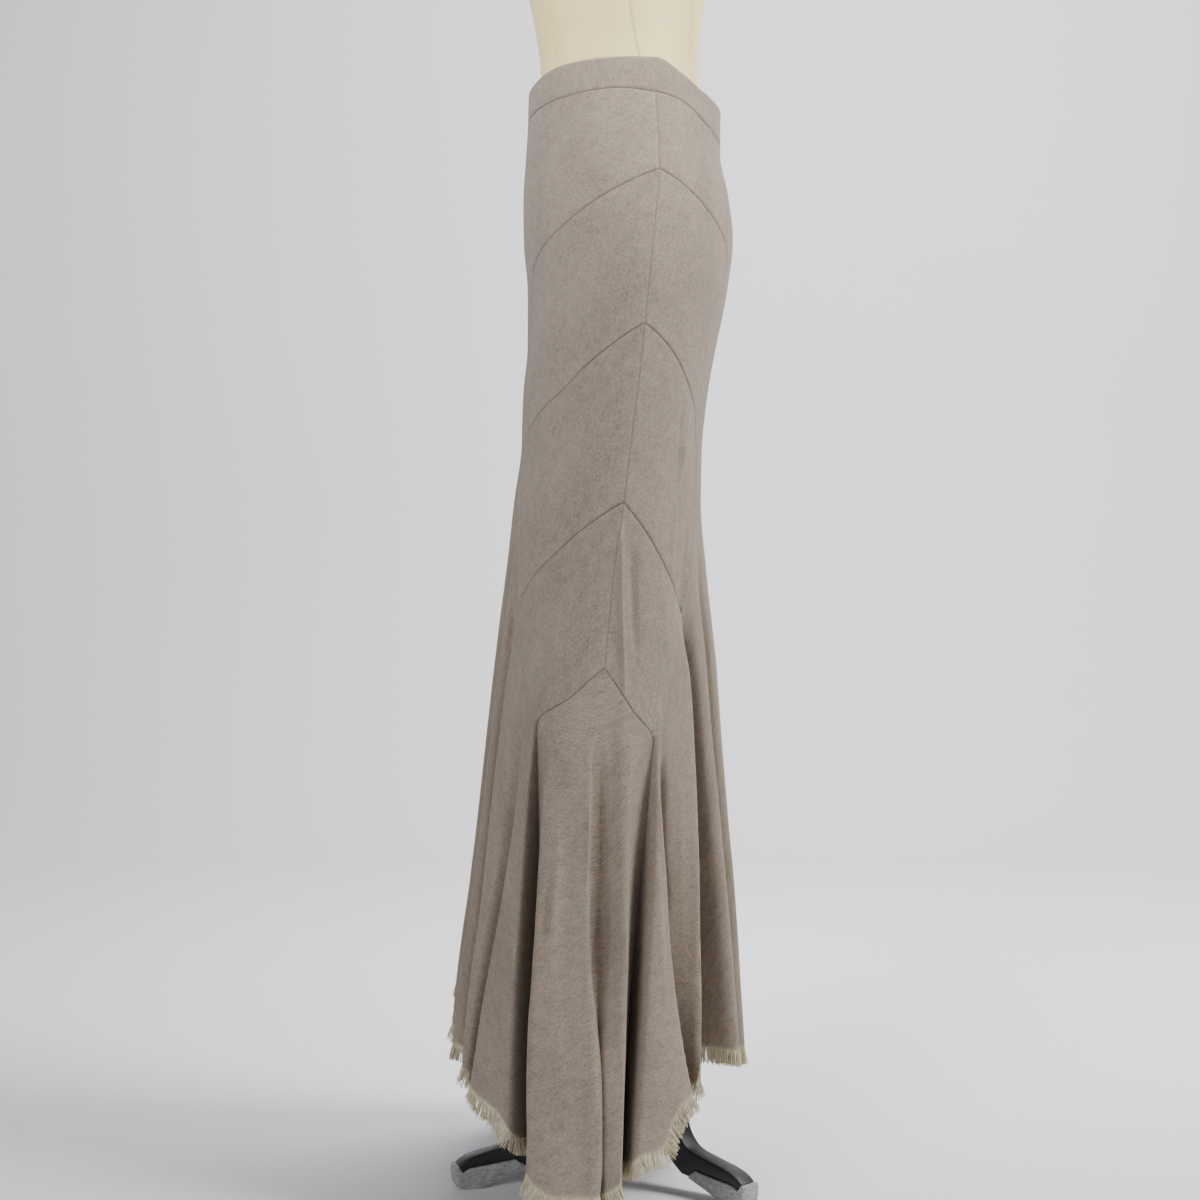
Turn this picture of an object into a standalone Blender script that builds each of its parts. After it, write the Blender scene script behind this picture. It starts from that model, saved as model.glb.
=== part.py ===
"""Maxi skirt with chevron seams and a fringed hem, on a limbless dress form and a three-legged stand.

Metres, +Z up. The front of the skirt faces -Y and the wearer's left is +X. The stand rests on z = 0.
The skirt is cut as a waistband, a front and a back panel, and on each side three front tiers, three back
tiers and a side godet. Every panel runs from the hips to the hem, and each seam ends in the valley of a
fold. A point of the cloth is given by an angle round the body (0 at centre front, 90 at the side seam,
180 at centre back) and a height, so that neighbouring pieces share the points of their seam.
"""

import math
from functools import partial

import bmesh
import bpy
import numpy as np

# Cloth
CLOTH = 0.0015  # thickness of the linen
SEAM_GAP = 0.0003  # between two pieces that meet at a seam
SQUARENESS = 2.3  # exponent of the oval sections, 2 being an ellipse
AXIS_Y = 0.0182  # the post stands this far behind the centre of the floor area

# Fringe
LOCK_PITCH = 0.0100  # from one lock to the next along the hem
HEM_GAP = 0.0008  # between the hem and the strip
ROOT_HEIGHT = 0.0030  # the strip that the roots are fused into
LOCK_LENGTHS = (0.0113, 0.0104, 0.0116, 0.0108, 0.0098, 0.0114, 0.0101)  # one after another
LOCK_LEANS = (0.0004, -0.0012, 0.0016, -0.0006, 0.0011)  # how far a tip leans along the hem
LOCK_TIP = 0.55  # width of a lock's tip, as a share of its root's

# Form and stand
FORM_BOTTOM = 0.770
FORM_SIDES = 40
POST_RADIUS = 0.0125
HUB_RADIUS = 0.030
HUB_BOTTOM = 0.118
HUB_TOP = 0.192
HUB_EDGE = 0.003  # bevel round both ends
STAND_SIDES = 24  # flats round the post and the hub
LEG_THICKNESS = 0.020
PAD_THICKNESS = 0.0232
LEG_ANGLES = {"front": 16.0, "back_left": 136.0, "right": 256.0}
SEAT_GAP = 0.0003  # between pieces that rest on each other
SHARP_ANGLE = 35  # edges that turn more than this are drawn sharp

SAME_POINT = 1e-6  # points closer than this are one

# The cloth's outermost outline, through the ridges of its folds.
# height, front, back, half width, y of the side
SKIRT_SECTIONS = (
    (0.000, 0.178, 0.126, 0.258, -0.027),
    (0.040, 0.176, 0.126, 0.254, -0.027),
    (0.120, 0.170, 0.124, 0.240, -0.027),
    (0.200, 0.163, 0.120, 0.224, -0.027),
    (0.300, 0.149, 0.114, 0.202, -0.027),
    (0.370, 0.141, 0.108, 0.188, -0.025),
    (0.445, 0.133, 0.101, 0.174, -0.021),
    (0.510, 0.126, 0.096, 0.165, -0.016),
    (0.600, 0.114, 0.086, 0.162, -0.007),
    (0.675, 0.105, 0.080, 0.165, 0.003),
    (0.725, 0.098, 0.081, 0.167, 0.009),
    (0.780, 0.096, 0.087, 0.171, 0.016),
    (0.825, 0.092, 0.095, 0.174, 0.021),
    (0.880, 0.092, 0.106, 0.176, 0.026),
    (0.930, 0.096, 0.1115, 0.172, 0.031),
    (0.970, 0.0965, 0.107, 0.163, 0.035),
    (1.012, 0.094, 0.099, 0.150, 0.034),
    (1.055, 0.0915, 0.100, 0.134, 0.032),
    (1.100, 0.090, 0.101, 0.124, 0.031),
)

# The waistband's lower edge, which is the waist seam, and its upper edge.
# angle, seam height, top height
WAISTBAND = (
    (0, 1.048, 1.078),
    (15, 1.049, 1.079),
    (45, 1.054, 1.0865),
    (75, 1.0575, 1.0888),
    (90, 1.053, 1.0876),
    (110, 1.044, 1.0725),
    (130, 1.030, 1.060),
    (150, 1.0215, 1.056),
    (180, 1.020, 1.056),
)

# The edge of the cloth at the hem: low at the sides, high in front and behind.
# angle, height
HEM = (
    (0, 0.198),
    (7, 0.168),
    (12, 0.152),
    (23, 0.149),
    (30, 0.142),
    (37, 0.127),
    (43, 0.120),
    (50, 0.116),
    (56, 0.111),
    (61, 0.099),
    (65, 0.080),
    (69.5, 0.063),
    (74, 0.051),
    (80, 0.045),
    (93, 0.046),
    (99, 0.062),
    (104, 0.079),
    (111, 0.083),
    (115, 0.104),
    (120, 0.119),
    (128, 0.129),
    (138, 0.142),
    (150, 0.148),
    (163, 0.143),
    (180, 0.128),
)

# Each seam starts at the side seam, sweeps down over the hip and turns into a fold's valley.
# The marks are (angle, height); the fold starts at its own height and is deepest at the hem.
# name: apex height, first mark, second mark, turn, angle at the hem, fold start, fold depth
SEAMS = {
    "front_1": (0.975, (54, 0.931), (20, 0.886), (8.5, 0.800), 4.5, 0.740, 0.030),
    "front_2": (0.830, (55, 0.775), (16, 0.719), (15, 0.650), 12.5, 0.722, 0.036),
    "front_3": (0.665, (64, 0.624), (38.5, 0.575), (29, 0.500), 26, 0.590, 0.046),
    "front_4": (0.511, (77, 0.484), (60.8, 0.459), (61, 0.400), 65, 0.470, 0.066),
    "back_1": (0.975, (127, 0.938), (156, 0.900), (167, 0.810), 173, 0.680, 0.028),
    "back_2": (0.830, (120, 0.791), (146, 0.740), (156, 0.650), 164, 0.660, 0.036),
    "back_3": (0.665, (111, 0.623), (133, 0.553), (139, 0.500), 152, 0.590, 0.060),
    "back_4": (0.511, (101.5, 0.473), (112, 0.440), (111.5, 0.385), 100, 0.455, 0.064),
}
SIDE_SEAM_ANGLE = 90.0
FIRST_MARK, SECOND_MARK, TURN = 0.17, 0.33, 0.50  # shares of the way along a seam
CENTRE_TURN = 0.850  # height of the centre line at the seams' turn
FOLD_GROWTH = 1.7  # a fold deepens evenly at 1, and sooner above that

# Where the cloth's points lie along a seam.
ALONG = (0, 0.055, 0.11, 0.17, 0.22, 0.275, 0.33, 0.37, 0.41, 0.455, 0.50, 0.56, 0.63, 0.71, 0.80, 0.90, 1)

# Where the points lie across a piece, from its upper seam to its lower one, and how far into the folds.
# share of the width at the seams' turn, the same at the hem, share of the fold's depth
PANEL_FOLD = ((0, 0, 1), (0.16, 0.16, 0.72), (0.36, 0.36, 0.38), (0.66, 0.66, 0.10), (1, 1, 0))
NARROW_FOLD = (
    (0, 0, 1),
    (0.11, 0.11, 0.62),
    (0.27, 0.27, 0.20),
    (0.50, 0.50, 0),
    (0.73, 0.73, 0.20),
    (0.89, 0.89, 0.62),
    (1, 1, 1),
)
# A narrow fold whose ridge leans to the front at the hem.
LEANING_FOLD = (
    (0, 0, 1),
    (0.18, 0.13, 0.60),
    (0.40, 0.29, 0.18),
    (0.64, 0.49, 0),
    (0.80, 0.70, 0.12),
    (0.92, 0.90, 0.50),
    (1, 1, 1),
)
# A narrow fold whose ridge leans to the side, so that its wall to the side is steep.
REAR_FOLD = (
    (0, 0, 1),
    (0.14, 0.14, 0.62),
    (0.36, 0.36, 0.20),
    (0.60, 0.60, 0),
    (0.79, 0.79, 0.14),
    (0.92, 0.92, 0.54),
    (1, 1, 1),
)
FRONT_FOLD = (
    (0, 0, 1),
    (0.09, 0.07, 0.45),
    (0.197, 0.156, 0),
    (0.479, 0.200, 0.06),
    (0.683, 0.246, 0.36),
    (0.759, 0.323, 0.03),
    (0.857, 0.513, 0),
    (0.93, 0.88, 0.01),
    (0.965, 0.93, 0.10),
    (0.985, 0.965, 0.38),
    (1, 1, 1),
)
BACK_FOLD = (
    (0, 0, 1),
    (0.06, 0.155, 0.72),
    (0.10, 0.30, 0.45),
    (0.155, 0.44, 0.20),
    (0.34, 0.475, 0.25),
    (0.58, 0.51, 0.30),
    (0.83, 0.545, 0.36),
    (0.875, 0.57, 0.05),
    (0.94, 0.80, 0.02),
    (0.975, 0.955, 0.10),
    (0.99, 0.982, 0.40),
    (1, 1, 1),
)
GODET_FOLD = (
    (0, 0, 1),
    (0.04, 0.036, 0.85),
    (0.08, 0.070, 0.58),
    (0.115, 0.107, 0.25),
    (0.145, 0.145, 0),
    (0.30, 0.351, 0.02),
    (0.44, 0.589, 0.02),
    (0.545, 0.737, 0),
    (0.56, 0.76, 0.36),
    (0.67, 0.837, 0.19),
    (0.79, 0.915, 0.03),
    (0.842, 0.945, 0.42),
    (0.92, 0.972, 0.74),
    (1, 1, 1),
)
TIER_FOLDS = {
    "front": {2: NARROW_FOLD, 3: LEANING_FOLD, 4: FRONT_FOLD},
    "back": {2: NARROW_FOLD, 3: REAR_FOLD, 4: BACK_FOLD},
}

# The dress form: hips that carry the skirt, waist, bust, shoulders and neck.
# height, front, back, half width, y of the side
FORM_SECTIONS = (
    (0.770, 0.074, 0.070, 0.150, 0.012),
    (0.774, 0.082, 0.078, 0.159, 0.014),
    (0.825, 0.0865, 0.0890, 0.1685, 0.021),
    (0.880, 0.0880, 0.1022, 0.1725, 0.026),
    (0.930, 0.0928, 0.1065, 0.1688, 0.031),
    (0.970, 0.0915, 0.0995, 0.1573, 0.035),
    (1.012, 0.0850, 0.0900, 0.1420, 0.033),
    (1.055, 0.0800, 0.0800, 0.1230, 0.024),
    (1.100, 0.0790, 0.0770, 0.1180, 0.015),
    (1.140, 0.0840, 0.0800, 0.1240, 0.008),
    (1.180, 0.0920, 0.0860, 0.1350, 0.002),
    (1.230, 0.1080, 0.0920, 0.1480, 0.000),
    (1.275, 0.1180, 0.0960, 0.1550, 0.000),
    (1.320, 0.1080, 0.1000, 0.1600, 0.004),
    (1.370, 0.0850, 0.1020, 0.1720, 0.010),
    (1.410, 0.0660, 0.0960, 0.1780, 0.014),
    (1.440, 0.0520, 0.0860, 0.1600, 0.016),
    (1.462, 0.0430, 0.0770, 0.1200, 0.017),
    (1.480, 0.0390, 0.0700, 0.0840, 0.018),
    (1.500, 0.0400, 0.0660, 0.0640, 0.014),
    (1.530, 0.0460, 0.0620, 0.0560, 0.010),
    (1.560, 0.0500, 0.0600, 0.0540, 0.008),
    (1.572, 0.0440, 0.0540, 0.0480, 0.008),
)

# One leg, a board standing on edge. distance from the post, height
LEG_OUTER_EDGE = (
    (0.058, 0.190),
    (0.068, 0.150),
    (0.0755, 0.110),
    (0.081, 0.0804),
    (0.0858, 0.0617),
    (0.0935, 0.0500),
    (0.1035, 0.0430),
    (0.1236, 0.0380),
    (0.1484, 0.0325),
    (0.1600, 0.0280),
    (0.1673, 0.0226),
)
LEG_UNDERSIDE = ((0.1620, 0.0167), (0.1566, 0.0200), (0.1346, 0.0228), (0.1092, 0.0262), (0.0992, 0.0185))
LEG_INNER_EDGE = (
    (0.0908, 0.0196),
    (0.0804, 0.0274),
    (0.0705, 0.0364),
    (0.0652, 0.0426),
    (0.0560, 0.0600),
    (0.0500, 0.0820),
    (0.0430, 0.1080),
    (0.0303, 0.1280),
    (0.0303, 0.1900),
)
# The tape round the foot: a wedge under the leg with a lip that goes up round the toe.
PAD_PROFILE = (
    (0.1000, 0.0180),
    (0.1270, 0.0082),
    (0.1440, 0.0000),
    (0.1620, 0.0000),
    (0.1690, 0.0040),
    (0.1708, 0.0150),
    (0.1702, 0.0205),
    (0.1690, 0.0225),
    (0.1678, 0.0221),
    (0.1628, 0.0159),
    (0.1568, 0.0196),
    (0.1346, 0.0225),
    (0.1097, 0.0258),
)

# colour, roughness, metallic
FINISHES = {
    "linen": ((0.36, 0.31, 0.265), 0.92, 0.0),
    "fringe_thread": ((0.56, 0.50, 0.36), 0.95, 0.0),
    "form_cover": ((0.72, 0.64, 0.47), 0.70, 0.0),
    "stand_paint": ((0.012, 0.012, 0.012), 0.35, 0.0),
    "tape": ((0.30, 0.32, 0.31), 0.45, 0.0),
}


def clear_scene():
    for thing in list(bpy.data.objects):
        bpy.data.objects.remove(thing, do_unlink=True)


def material(finish):
    found = bpy.data.materials.get(finish)
    if found:
        return found
    colour, roughness, metallic = FINISHES[finish]
    made = bpy.data.materials.new(finish)
    made.use_nodes = True
    shader = made.node_tree.nodes["Principled BSDF"]
    shader.inputs["Base Color"].default_value = (*colour, 1)
    shader.inputs["Roughness"].default_value = roughness
    shader.inputs["Metallic"].default_value = metallic
    return made


def add_object(name, points, faces, finish):
    """A closed mesh object with its faces pointing out, placed on the stand's axis."""
    mesh = bpy.data.meshes.new(name)
    mesh.from_pydata([(x, y + AXIS_Y, z) for x, y, z in points], [], faces)
    shape = bmesh.new()
    shape.from_mesh(mesh)
    bmesh.ops.recalc_face_normals(shape, faces=shape.faces)
    shape.to_mesh(mesh)
    shape.free()
    mesh.materials.append(material(finish))
    mesh.shade_smooth()
    mesh.set_sharp_from_angle(angle=math.radians(SHARP_ANGLE))
    made = bpy.data.objects.new(name, mesh)
    bpy.context.scene.collection.objects.link(made)
    return made


def smooth(x, rows, column=1):
    """A column of a table at x: a cubic through the rows that never swings past them."""
    xs = [row[0] for row in rows]
    ys = [row[column] for row in rows]
    x = min(max(x, xs[0]), xs[-1])
    k = min(max(i for i in range(len(xs)) if xs[i] <= x), len(xs) - 2)
    steps = [(ys[i + 1] - ys[i]) / (xs[i + 1] - xs[i]) for i in range(len(xs) - 1)]

    def slope(i):
        if i == 0 or i == len(xs) - 1:
            return steps[0] if i == 0 else steps[-1]
        before, after = steps[i - 1], steps[i]
        return 0.0 if before * after <= 0 else 2 * before * after / (before + after)

    width = xs[k + 1] - xs[k]
    t = (x - xs[k]) / width
    start = (1 + 2 * t) * (1 - t) ** 2 * ys[k] + t * (1 - t) ** 2 * width * slope(k)
    end = t * t * (3 - 2 * t) * ys[k + 1] + t * t * (t - 1) * width * slope(k + 1)
    return start + end


def oval_point(sections, angle, z):
    """The point of an oval section at an angle round the body, on the wearer's left side."""
    front, back, half_width, side_y = (smooth(z, sections, column) for column in (1, 2, 3, 4))
    power = 2 / SQUARENESS
    turn = math.radians(angle)
    x = half_width * max(math.sin(turn), 0) ** power
    if angle <= 90:
        return np.array((x, side_y - (front + side_y) * max(math.cos(turn), 0) ** power, z))
    return np.array((x, side_y + (back - side_y) * (-math.cos(turn)) ** power, z))


def cloth_point(angle, z, inward):
    """A point of the cloth, moved in from the outline towards the middle of the section."""
    point = oval_point(SKIRT_SECTIONS, angle, z)
    middle = np.array((0, smooth(z, SKIRT_SECTIONS, 4), z))
    way = middle - point
    return point + way * (inward / np.linalg.norm(way))


def fold_depth(seam, z):
    """How deep the valley on a seam is at a height: nothing above its start, growing down to the hem."""
    start, deepest = SEAMS[seam][5:7]
    low = smooth(SEAMS[seam][4], HEM)
    down = min(max((start - z) / (start - low), 0), 1)
    return deepest * (1 - (1 - down) ** FOLD_GROWTH)


def seam_place(seam, s):
    """(angle, height, fold depth) at a share s of the way from the side seam to the hem."""
    apex, first, second, turn, hem_angle = SEAMS[seam][:5]
    hem_mark = (hem_angle, smooth(hem_angle, HEM))
    marks = ((SIDE_SEAM_ANGLE, apex), first, second, turn, hem_mark)
    rows = [(share, *mark) for share, mark in zip((0, FIRST_MARK, SECOND_MARK, TURN, 1), marks)]
    angle, z = smooth(s, rows, 1), smooth(s, rows, 2)
    return angle, z, fold_depth(seam, z)


def waist_place(end, s):
    """The waist seam from the side to the centre, then the centre line, a ridge, down to the hem."""
    if s <= SECOND_MARK:
        angle = SIDE_SEAM_ANGLE + (end - SIDE_SEAM_ANGLE) * s / SECOND_MARK
        return angle, smooth(angle, WAISTBAND), None
    rows = ((SECOND_MARK, smooth(end, WAISTBAND)), (TURN, CENTRE_TURN), (1, smooth(end, HEM)))
    return end, smooth(s, rows), None


def strip(upper, lower, fold):
    """Rows of cloth points between two lines, folded as the table says; the last row is at the hem."""
    rows = []
    for s in ALONG:
        (a0, z0, d0), (a1, z1, d1) = upper(s), lower(s)
        row = []
        for k, (at_turn, at_hem, share) in enumerate(fold):
            even = k / (len(fold) - 1)
            t = smooth(s, ((0, even), (TURN, at_turn), (1, at_hem)))
            angle = a0 + (a1 - a0) * t
            z = smooth(angle, HEM) if s == 1 else z0 + (z1 - z0) * t
            depth = d0 if d1 is None else d0 + (d1 - d0) * t
            row.append(cloth_point(angle, z, depth * share))
        rows.append(row)
    return rows


def mirrored(rows):
    return [[point * (-1, 1, 1) for point in row] for row in rows]


class Surface:
    """Faces of one piece of cloth over welded points; 'free' points lie on an edge with no seam."""

    def __init__(self):
        self.points, self.index, self.faces, self.free = [], {}, [], set()

    def add(self, point, free=False):
        key = tuple(np.round(point, 7) + 0.0)
        if key not in self.index:
            self.index[key] = len(self.points)
            self.points.append(np.array(point))
        if free:
            self.free.add(self.index[key])
        return self.index[key]

    def grid(self, rows, free_rows=()):
        numbers = [[self.add(p, i in free_rows) for p in row] for i, row in enumerate(rows)]
        for upper, lower in zip(numbers, numbers[1:]):
            for k in range(len(upper) - 1):
                face = dict.fromkeys((upper[k], lower[k], lower[k + 1], upper[k + 1]))
                if len(face) > 2:
                    self.faces.append(tuple(face))
        return self


def oriented_normals(surface):
    """A normal for each face, all on the side away from the body."""
    found = []
    for face in surface.faces:
        corners = [surface.points[i] for i in face]
        middle = sum(corners) / len(corners)
        ring = corners[1:] + corners[:1]
        normal = sum(np.cross(a - middle, b - middle) for a, b in zip(corners, ring))
        found.append(normal)
    # The faces of one grid all turn the same way, so one sum decides for each grid's side.
    signs = [np.sign(normal @ side_of(surface, face)) for normal, face in zip(found, surface.faces)]
    for sign_side in (1, -1):
        chosen = [i for i, face in enumerate(surface.faces) if side(surface, face) == sign_side]
        if chosen and sum(signs[i] for i in chosen) < 0:
            for i in chosen:
                found[i] = -found[i]
    return [normal / np.linalg.norm(normal) for normal in found]


def side(surface, face):
    return 1 if sum(surface.points[i][0] for i in face) >= 0 else -1


def side_of(surface, face):
    return sum(surface.points[i] for i in face) * (1, 1, 0)


def shared_normals(surfaces):
    """The mean normal at every point, over all the pieces that meet there."""
    total, faces_at = {}, {}
    for surface in surfaces:
        for face, normal in zip(surface.faces, oriented_normals(surface)):
            for i in face:
                key = tuple(np.round(surface.points[i], 6) + 0.0)
                total[key] = total.get(key, 0) + normal
                faces_at.setdefault(key, []).append(normal)
    means = {}
    for key, normal in total.items():
        mean = normal / np.linalg.norm(normal)
        leaning = min(mean @ other for other in faces_at[key])
        means[key] = (mean, 1 / max(leaning, 0.65))
    return means


def boundary(surface):
    """The edges with a face on one side only, each with that face."""
    uses = {}
    for face in surface.faces:
        for a, b in zip(face, face[1:] + face[:1]):
            uses.setdefault(frozenset((a, b)), []).append((a, b, face))
    return [found[0] for found in uses.values() if len(found) == 1]


def seam_insets(surface, normals):
    """Moves each point on a seam by half the gap, away from the neighbouring piece."""
    ways = {}
    for a, b, face in boundary(surface):
        if a in surface.free and b in surface.free:
            continue
        start, end = surface.points[a], surface.points[b]
        inside = sum(surface.points[i] for i in face) / len(face)
        way = np.cross(end - start, normals[a][0] + normals[b][0])
        way = way / np.linalg.norm(way)
        if way @ (inside - start) < 0:
            way = -way
        ways.setdefault(a, []).append(way)
        ways.setdefault(b, []).append(way)
    moves = {}
    for i, found in ways.items():
        if len(found) == 1:
            moves[i] = found[0] * SEAM_GAP / 2
        else:
            both = found[0] + found[1]
            moves[i] = both * SEAM_GAP / 2 / max(1 + found[0] @ found[1], 0.4)
    return moves


def cloth_wall(name, surface, means):
    """The piece as a wall: its outer face, an inner face one thickness in, and the rim between them."""
    normals = [means[tuple(np.round(p, 6) + 0.0)] for p in surface.points]
    moves = seam_insets(surface, normals)
    outer = [p + moves.get(i, 0) for i, p in enumerate(surface.points)]
    inner = [p - n * CLOTH * lengthen for p, (n, lengthen) in zip(outer, normals)]
    count = len(outer)
    faces = list(surface.faces)
    faces += [tuple(i + count for i in reversed(face)) for face in surface.faces]
    faces += [(b, a, a + count, b + count) for a, b, _ in boundary(surface)]
    add_object(name, outer + inner, faces, "linen")


def left_strips():
    """The rows of points of every piece on the wearer's left."""
    strips = {}
    for end, where in ((0, "front"), (180, "back")):
        centre = partial(waist_place, end)
        strips[f"{where}_panel"] = strip(partial(seam_place, f"{where}_1"), centre, PANEL_FOLD)
        for tier, fold in TIER_FOLDS[where].items():
            upper, lower = partial(seam_place, f"{where}_{tier - 1}"), partial(seam_place, f"{where}_{tier}")
            strips[f"{where}_tier_{tier}"] = strip(upper, lower, fold)
    strips["side_godet"] = strip(partial(seam_place, "front_4"), partial(seam_place, "back_4"), GODET_FOLD)
    return strips


def make_surfaces(strips):
    """Every piece of the skirt as a named surface."""
    hem = (len(ALONG) - 1,)
    surfaces = {"waistband": waistband_surface()}
    for name, rows in strips.items():
        if "panel" in name:
            surfaces[name] = Surface().grid(rows, hem).grid(mirrored(rows), hem)
        else:
            surfaces[f"{name}_left"] = Surface().grid(rows, hem)
            surfaces[f"{name}_right"] = Surface().grid(mirrored(rows), hem)
    return surfaces


def waistband_surface():
    """A ring that stands on the waist seam, with points at the same angles as the panels below it."""
    rows = ([], [])
    for end in (0, 180):
        for s in [s for s in ALONG if s <= SECOND_MARK]:
            angle, z, _ = waist_place(end, s)
            rows[0].append((angle, cloth_point(angle, smooth(angle, WAISTBAND, 2), 0)))
            rows[1].append((angle, cloth_point(angle, z, 0)))
    half = [[point for _, point in sorted(row, key=lambda pair: pair[0])] for row in rows]
    return Surface().grid(half, (0,)).grid(mirrored(half), (0,))


def hem_line(strips, names):
    """The hem's points in order over some pieces, each with the way on down the cloth."""
    line = []
    for name in names:
        rows = strips[name]
        backwards = -1 if "back" in name or name == "front_panel" else 1
        for above, at_hem in list(zip(rows[-2], rows[-1]))[::backwards]:
            if line and np.linalg.norm(line[-1][0] - at_hem) < SAME_POINT:
                continue
            way = at_hem - above
            line.append((at_hem, way / np.linalg.norm(way)))
    return line


def fringe_walls(strips, means):
    """The fringe in four stretches: locks of thread whose roots are fused in a strip below the hem."""

    def other_side(line):
        return [(point * (-1, 1, 1), way * (-1, 1, 1)) for point, way in line]

    front = hem_line(strips, ("front_panel", "front_tier_2", "front_tier_3"))
    side_part = hem_line(strips, ("front_tier_4", "side_godet", "back_tier_4"))
    back = hem_line(strips, ("back_tier_3", "back_tier_2", "back_panel"))
    fringe("fringe_front", other_side(front)[::-1] + front[1:], means)
    fringe("fringe_left", side_part, means)
    fringe("fringe_right", other_side(side_part), means)
    fringe("fringe_back", back + other_side(back)[::-1][1:], means)


def fringe(name, line, means):
    """One comb of locks along a stretch of the hem."""
    places = []
    for (start, way_start), (end, way_end) in zip(line, line[1:]):
        count = max(1, round(np.linalg.norm(end - start) / LOCK_PITCH))
        n_start, n_end = (means[tuple(np.round(p, 6) + 0.0)][0] for p in (start, end))
        for k in range(count):
            t = k / count
            normal = n_start + (n_end - n_start) * t
            way = way_start + (way_end - way_start) * t
            places.append((start + (end - start) * t, normal, way))
    places.append((line[-1][0], means[tuple(np.round(line[-1][0], 6) + 0.0)][0], line[-1][1]))
    # The comb's ends stay clear of the next stretch's.
    for i, j in ((0, 1), (-1, -2)):
        apart = places[j][0] - places[i][0]
        places[i] = (places[i][0] + apart / np.linalg.norm(apart) * SEAM_GAP, *places[i][1:])
    points, faces = [], []
    for k, (point, normal, way) in enumerate(places):
        normal = normal / np.linalg.norm(normal)
        down = way
        if 0 < k < len(places) - 1:
            run = places[k + 1][0] - places[k - 1][0]
            run = run / np.linalg.norm(run)
            down = way - run * (way @ run)
        down = down / np.linalg.norm(down)
        for drop in (HEM_GAP, HEM_GAP + ROOT_HEIGHT):
            points += [point + down * drop, point + down * drop - normal * CLOTH]
    for k in range(len(places) - 1):
        a, b = 4 * k, 4 * (k + 1)
        faces += [(a, b, b + 1, a + 1), (a, a + 2, b + 2, b), (a + 1, b + 1, b + 3, a + 3)]
        lean = LOCK_LEANS[k % len(LOCK_LEANS)]
        length = LOCK_LENGTHS[k % len(LOCK_LENGTHS)]
        way = places[k][2] / np.linalg.norm(places[k][2])
        root = [points[i] for i in (a + 2, b + 2, b + 3, a + 3)]
        middle = sum(root) / 4
        run = root[1] - root[0]
        run = run / np.linalg.norm(run)
        tip = middle + way * length + run * lean
        first = len(points)
        points += [tip + (corner - middle) * LOCK_TIP for corner in root]
        ring = (a + 2, b + 2, b + 3, a + 3)
        for m in range(4):
            n = (m + 1) % 4
            faces.append((ring[m], ring[n], first + n, first + m))
        faces.append((first, first + 1, first + 2, first + 3))
    last = 4 * (len(places) - 1)
    faces += [(0, 1, 3, 2), (last, last + 2, last + 3, last + 1)]
    add_object(name, points, faces, "fringe_thread")


def ring_loft(name, rings, finish):
    """A closed solid through rings of points, with a flat cap at each end."""
    count = len(rings[0])
    points = [point for ring in rings for point in ring]
    faces = [tuple(range(count)), tuple(range((len(rings) - 1) * count, len(rings) * count))]
    for level in range(len(rings) - 1):
        for k in range(count):
            n = (k + 1) % count
            low, high = level * count, (level + 1) * count
            faces.append((low + k, low + n, high + n, high + k))
    add_object(name, points, faces, finish)


def make_form():
    rings = []
    for z in [row[0] for row in FORM_SECTIONS]:
        half = [oval_point(FORM_SECTIONS, 360 * k / FORM_SIDES, z) for k in range(FORM_SIDES // 2 + 1)]
        rings.append(half + [point * (-1, 1, 1) for point in half[-2:0:-1]])
    ring_loft("form_torso", rings, "form_cover")


def turned(name, profile):
    """A painted solid turned about the stand's axis from (radius, height) rows."""
    turns = [2 * math.pi * k / STAND_SIDES for k in range(STAND_SIDES)]
    rings = []
    for radius, z in profile:
        rings.append([np.array((radius * math.cos(a), radius * math.sin(a), z)) for a in turns])
    ring_loft(name, rings, "stand_paint")


def board(name, outline, thickness, angle, finish):
    """An upright board cut to an outline of (distance, height) points, pointing out at an angle."""
    turn = math.radians(angle)
    out = np.array((math.sin(turn), -math.cos(turn), 0))
    across = np.array((math.cos(turn), math.sin(turn), 0)) * thickness / 2
    near, far = [], []
    for distance, z in outline:
        point = out * distance + np.array((0, 0, z))
        near.append(point + across)
        far.append(point - across)
    count = len(outline)
    faces = [tuple(range(count)), tuple(range(2 * count - 1, count - 1, -1))]
    faces += [(k, (k + 1) % count, (k + 1) % count + count, k + count) for k in range(count)]
    add_object(name, near + far, faces, finish)


def rounded(marks, steps=2):
    """A smooth line through marks, with a point or more between each pair."""
    line = []
    for i in range(len(marks) - 1):
        before, start = np.array(marks[max(i - 1, 0)]), np.array(marks[i])
        end, after = np.array(marks[i + 1]), np.array(marks[min(i + 2, len(marks) - 1)])
        for k in range(steps):
            t = k / steps
            line.append(
                0.5
                * (
                    2 * start
                    + (end - before) * t
                    + (2 * before - 5 * start + 4 * end - after) * t**2
                    + (3 * start - before - 3 * end + after) * t**3
                )
            )
    return [tuple(point) for point in line] + [tuple(marks[-1])]


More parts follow.
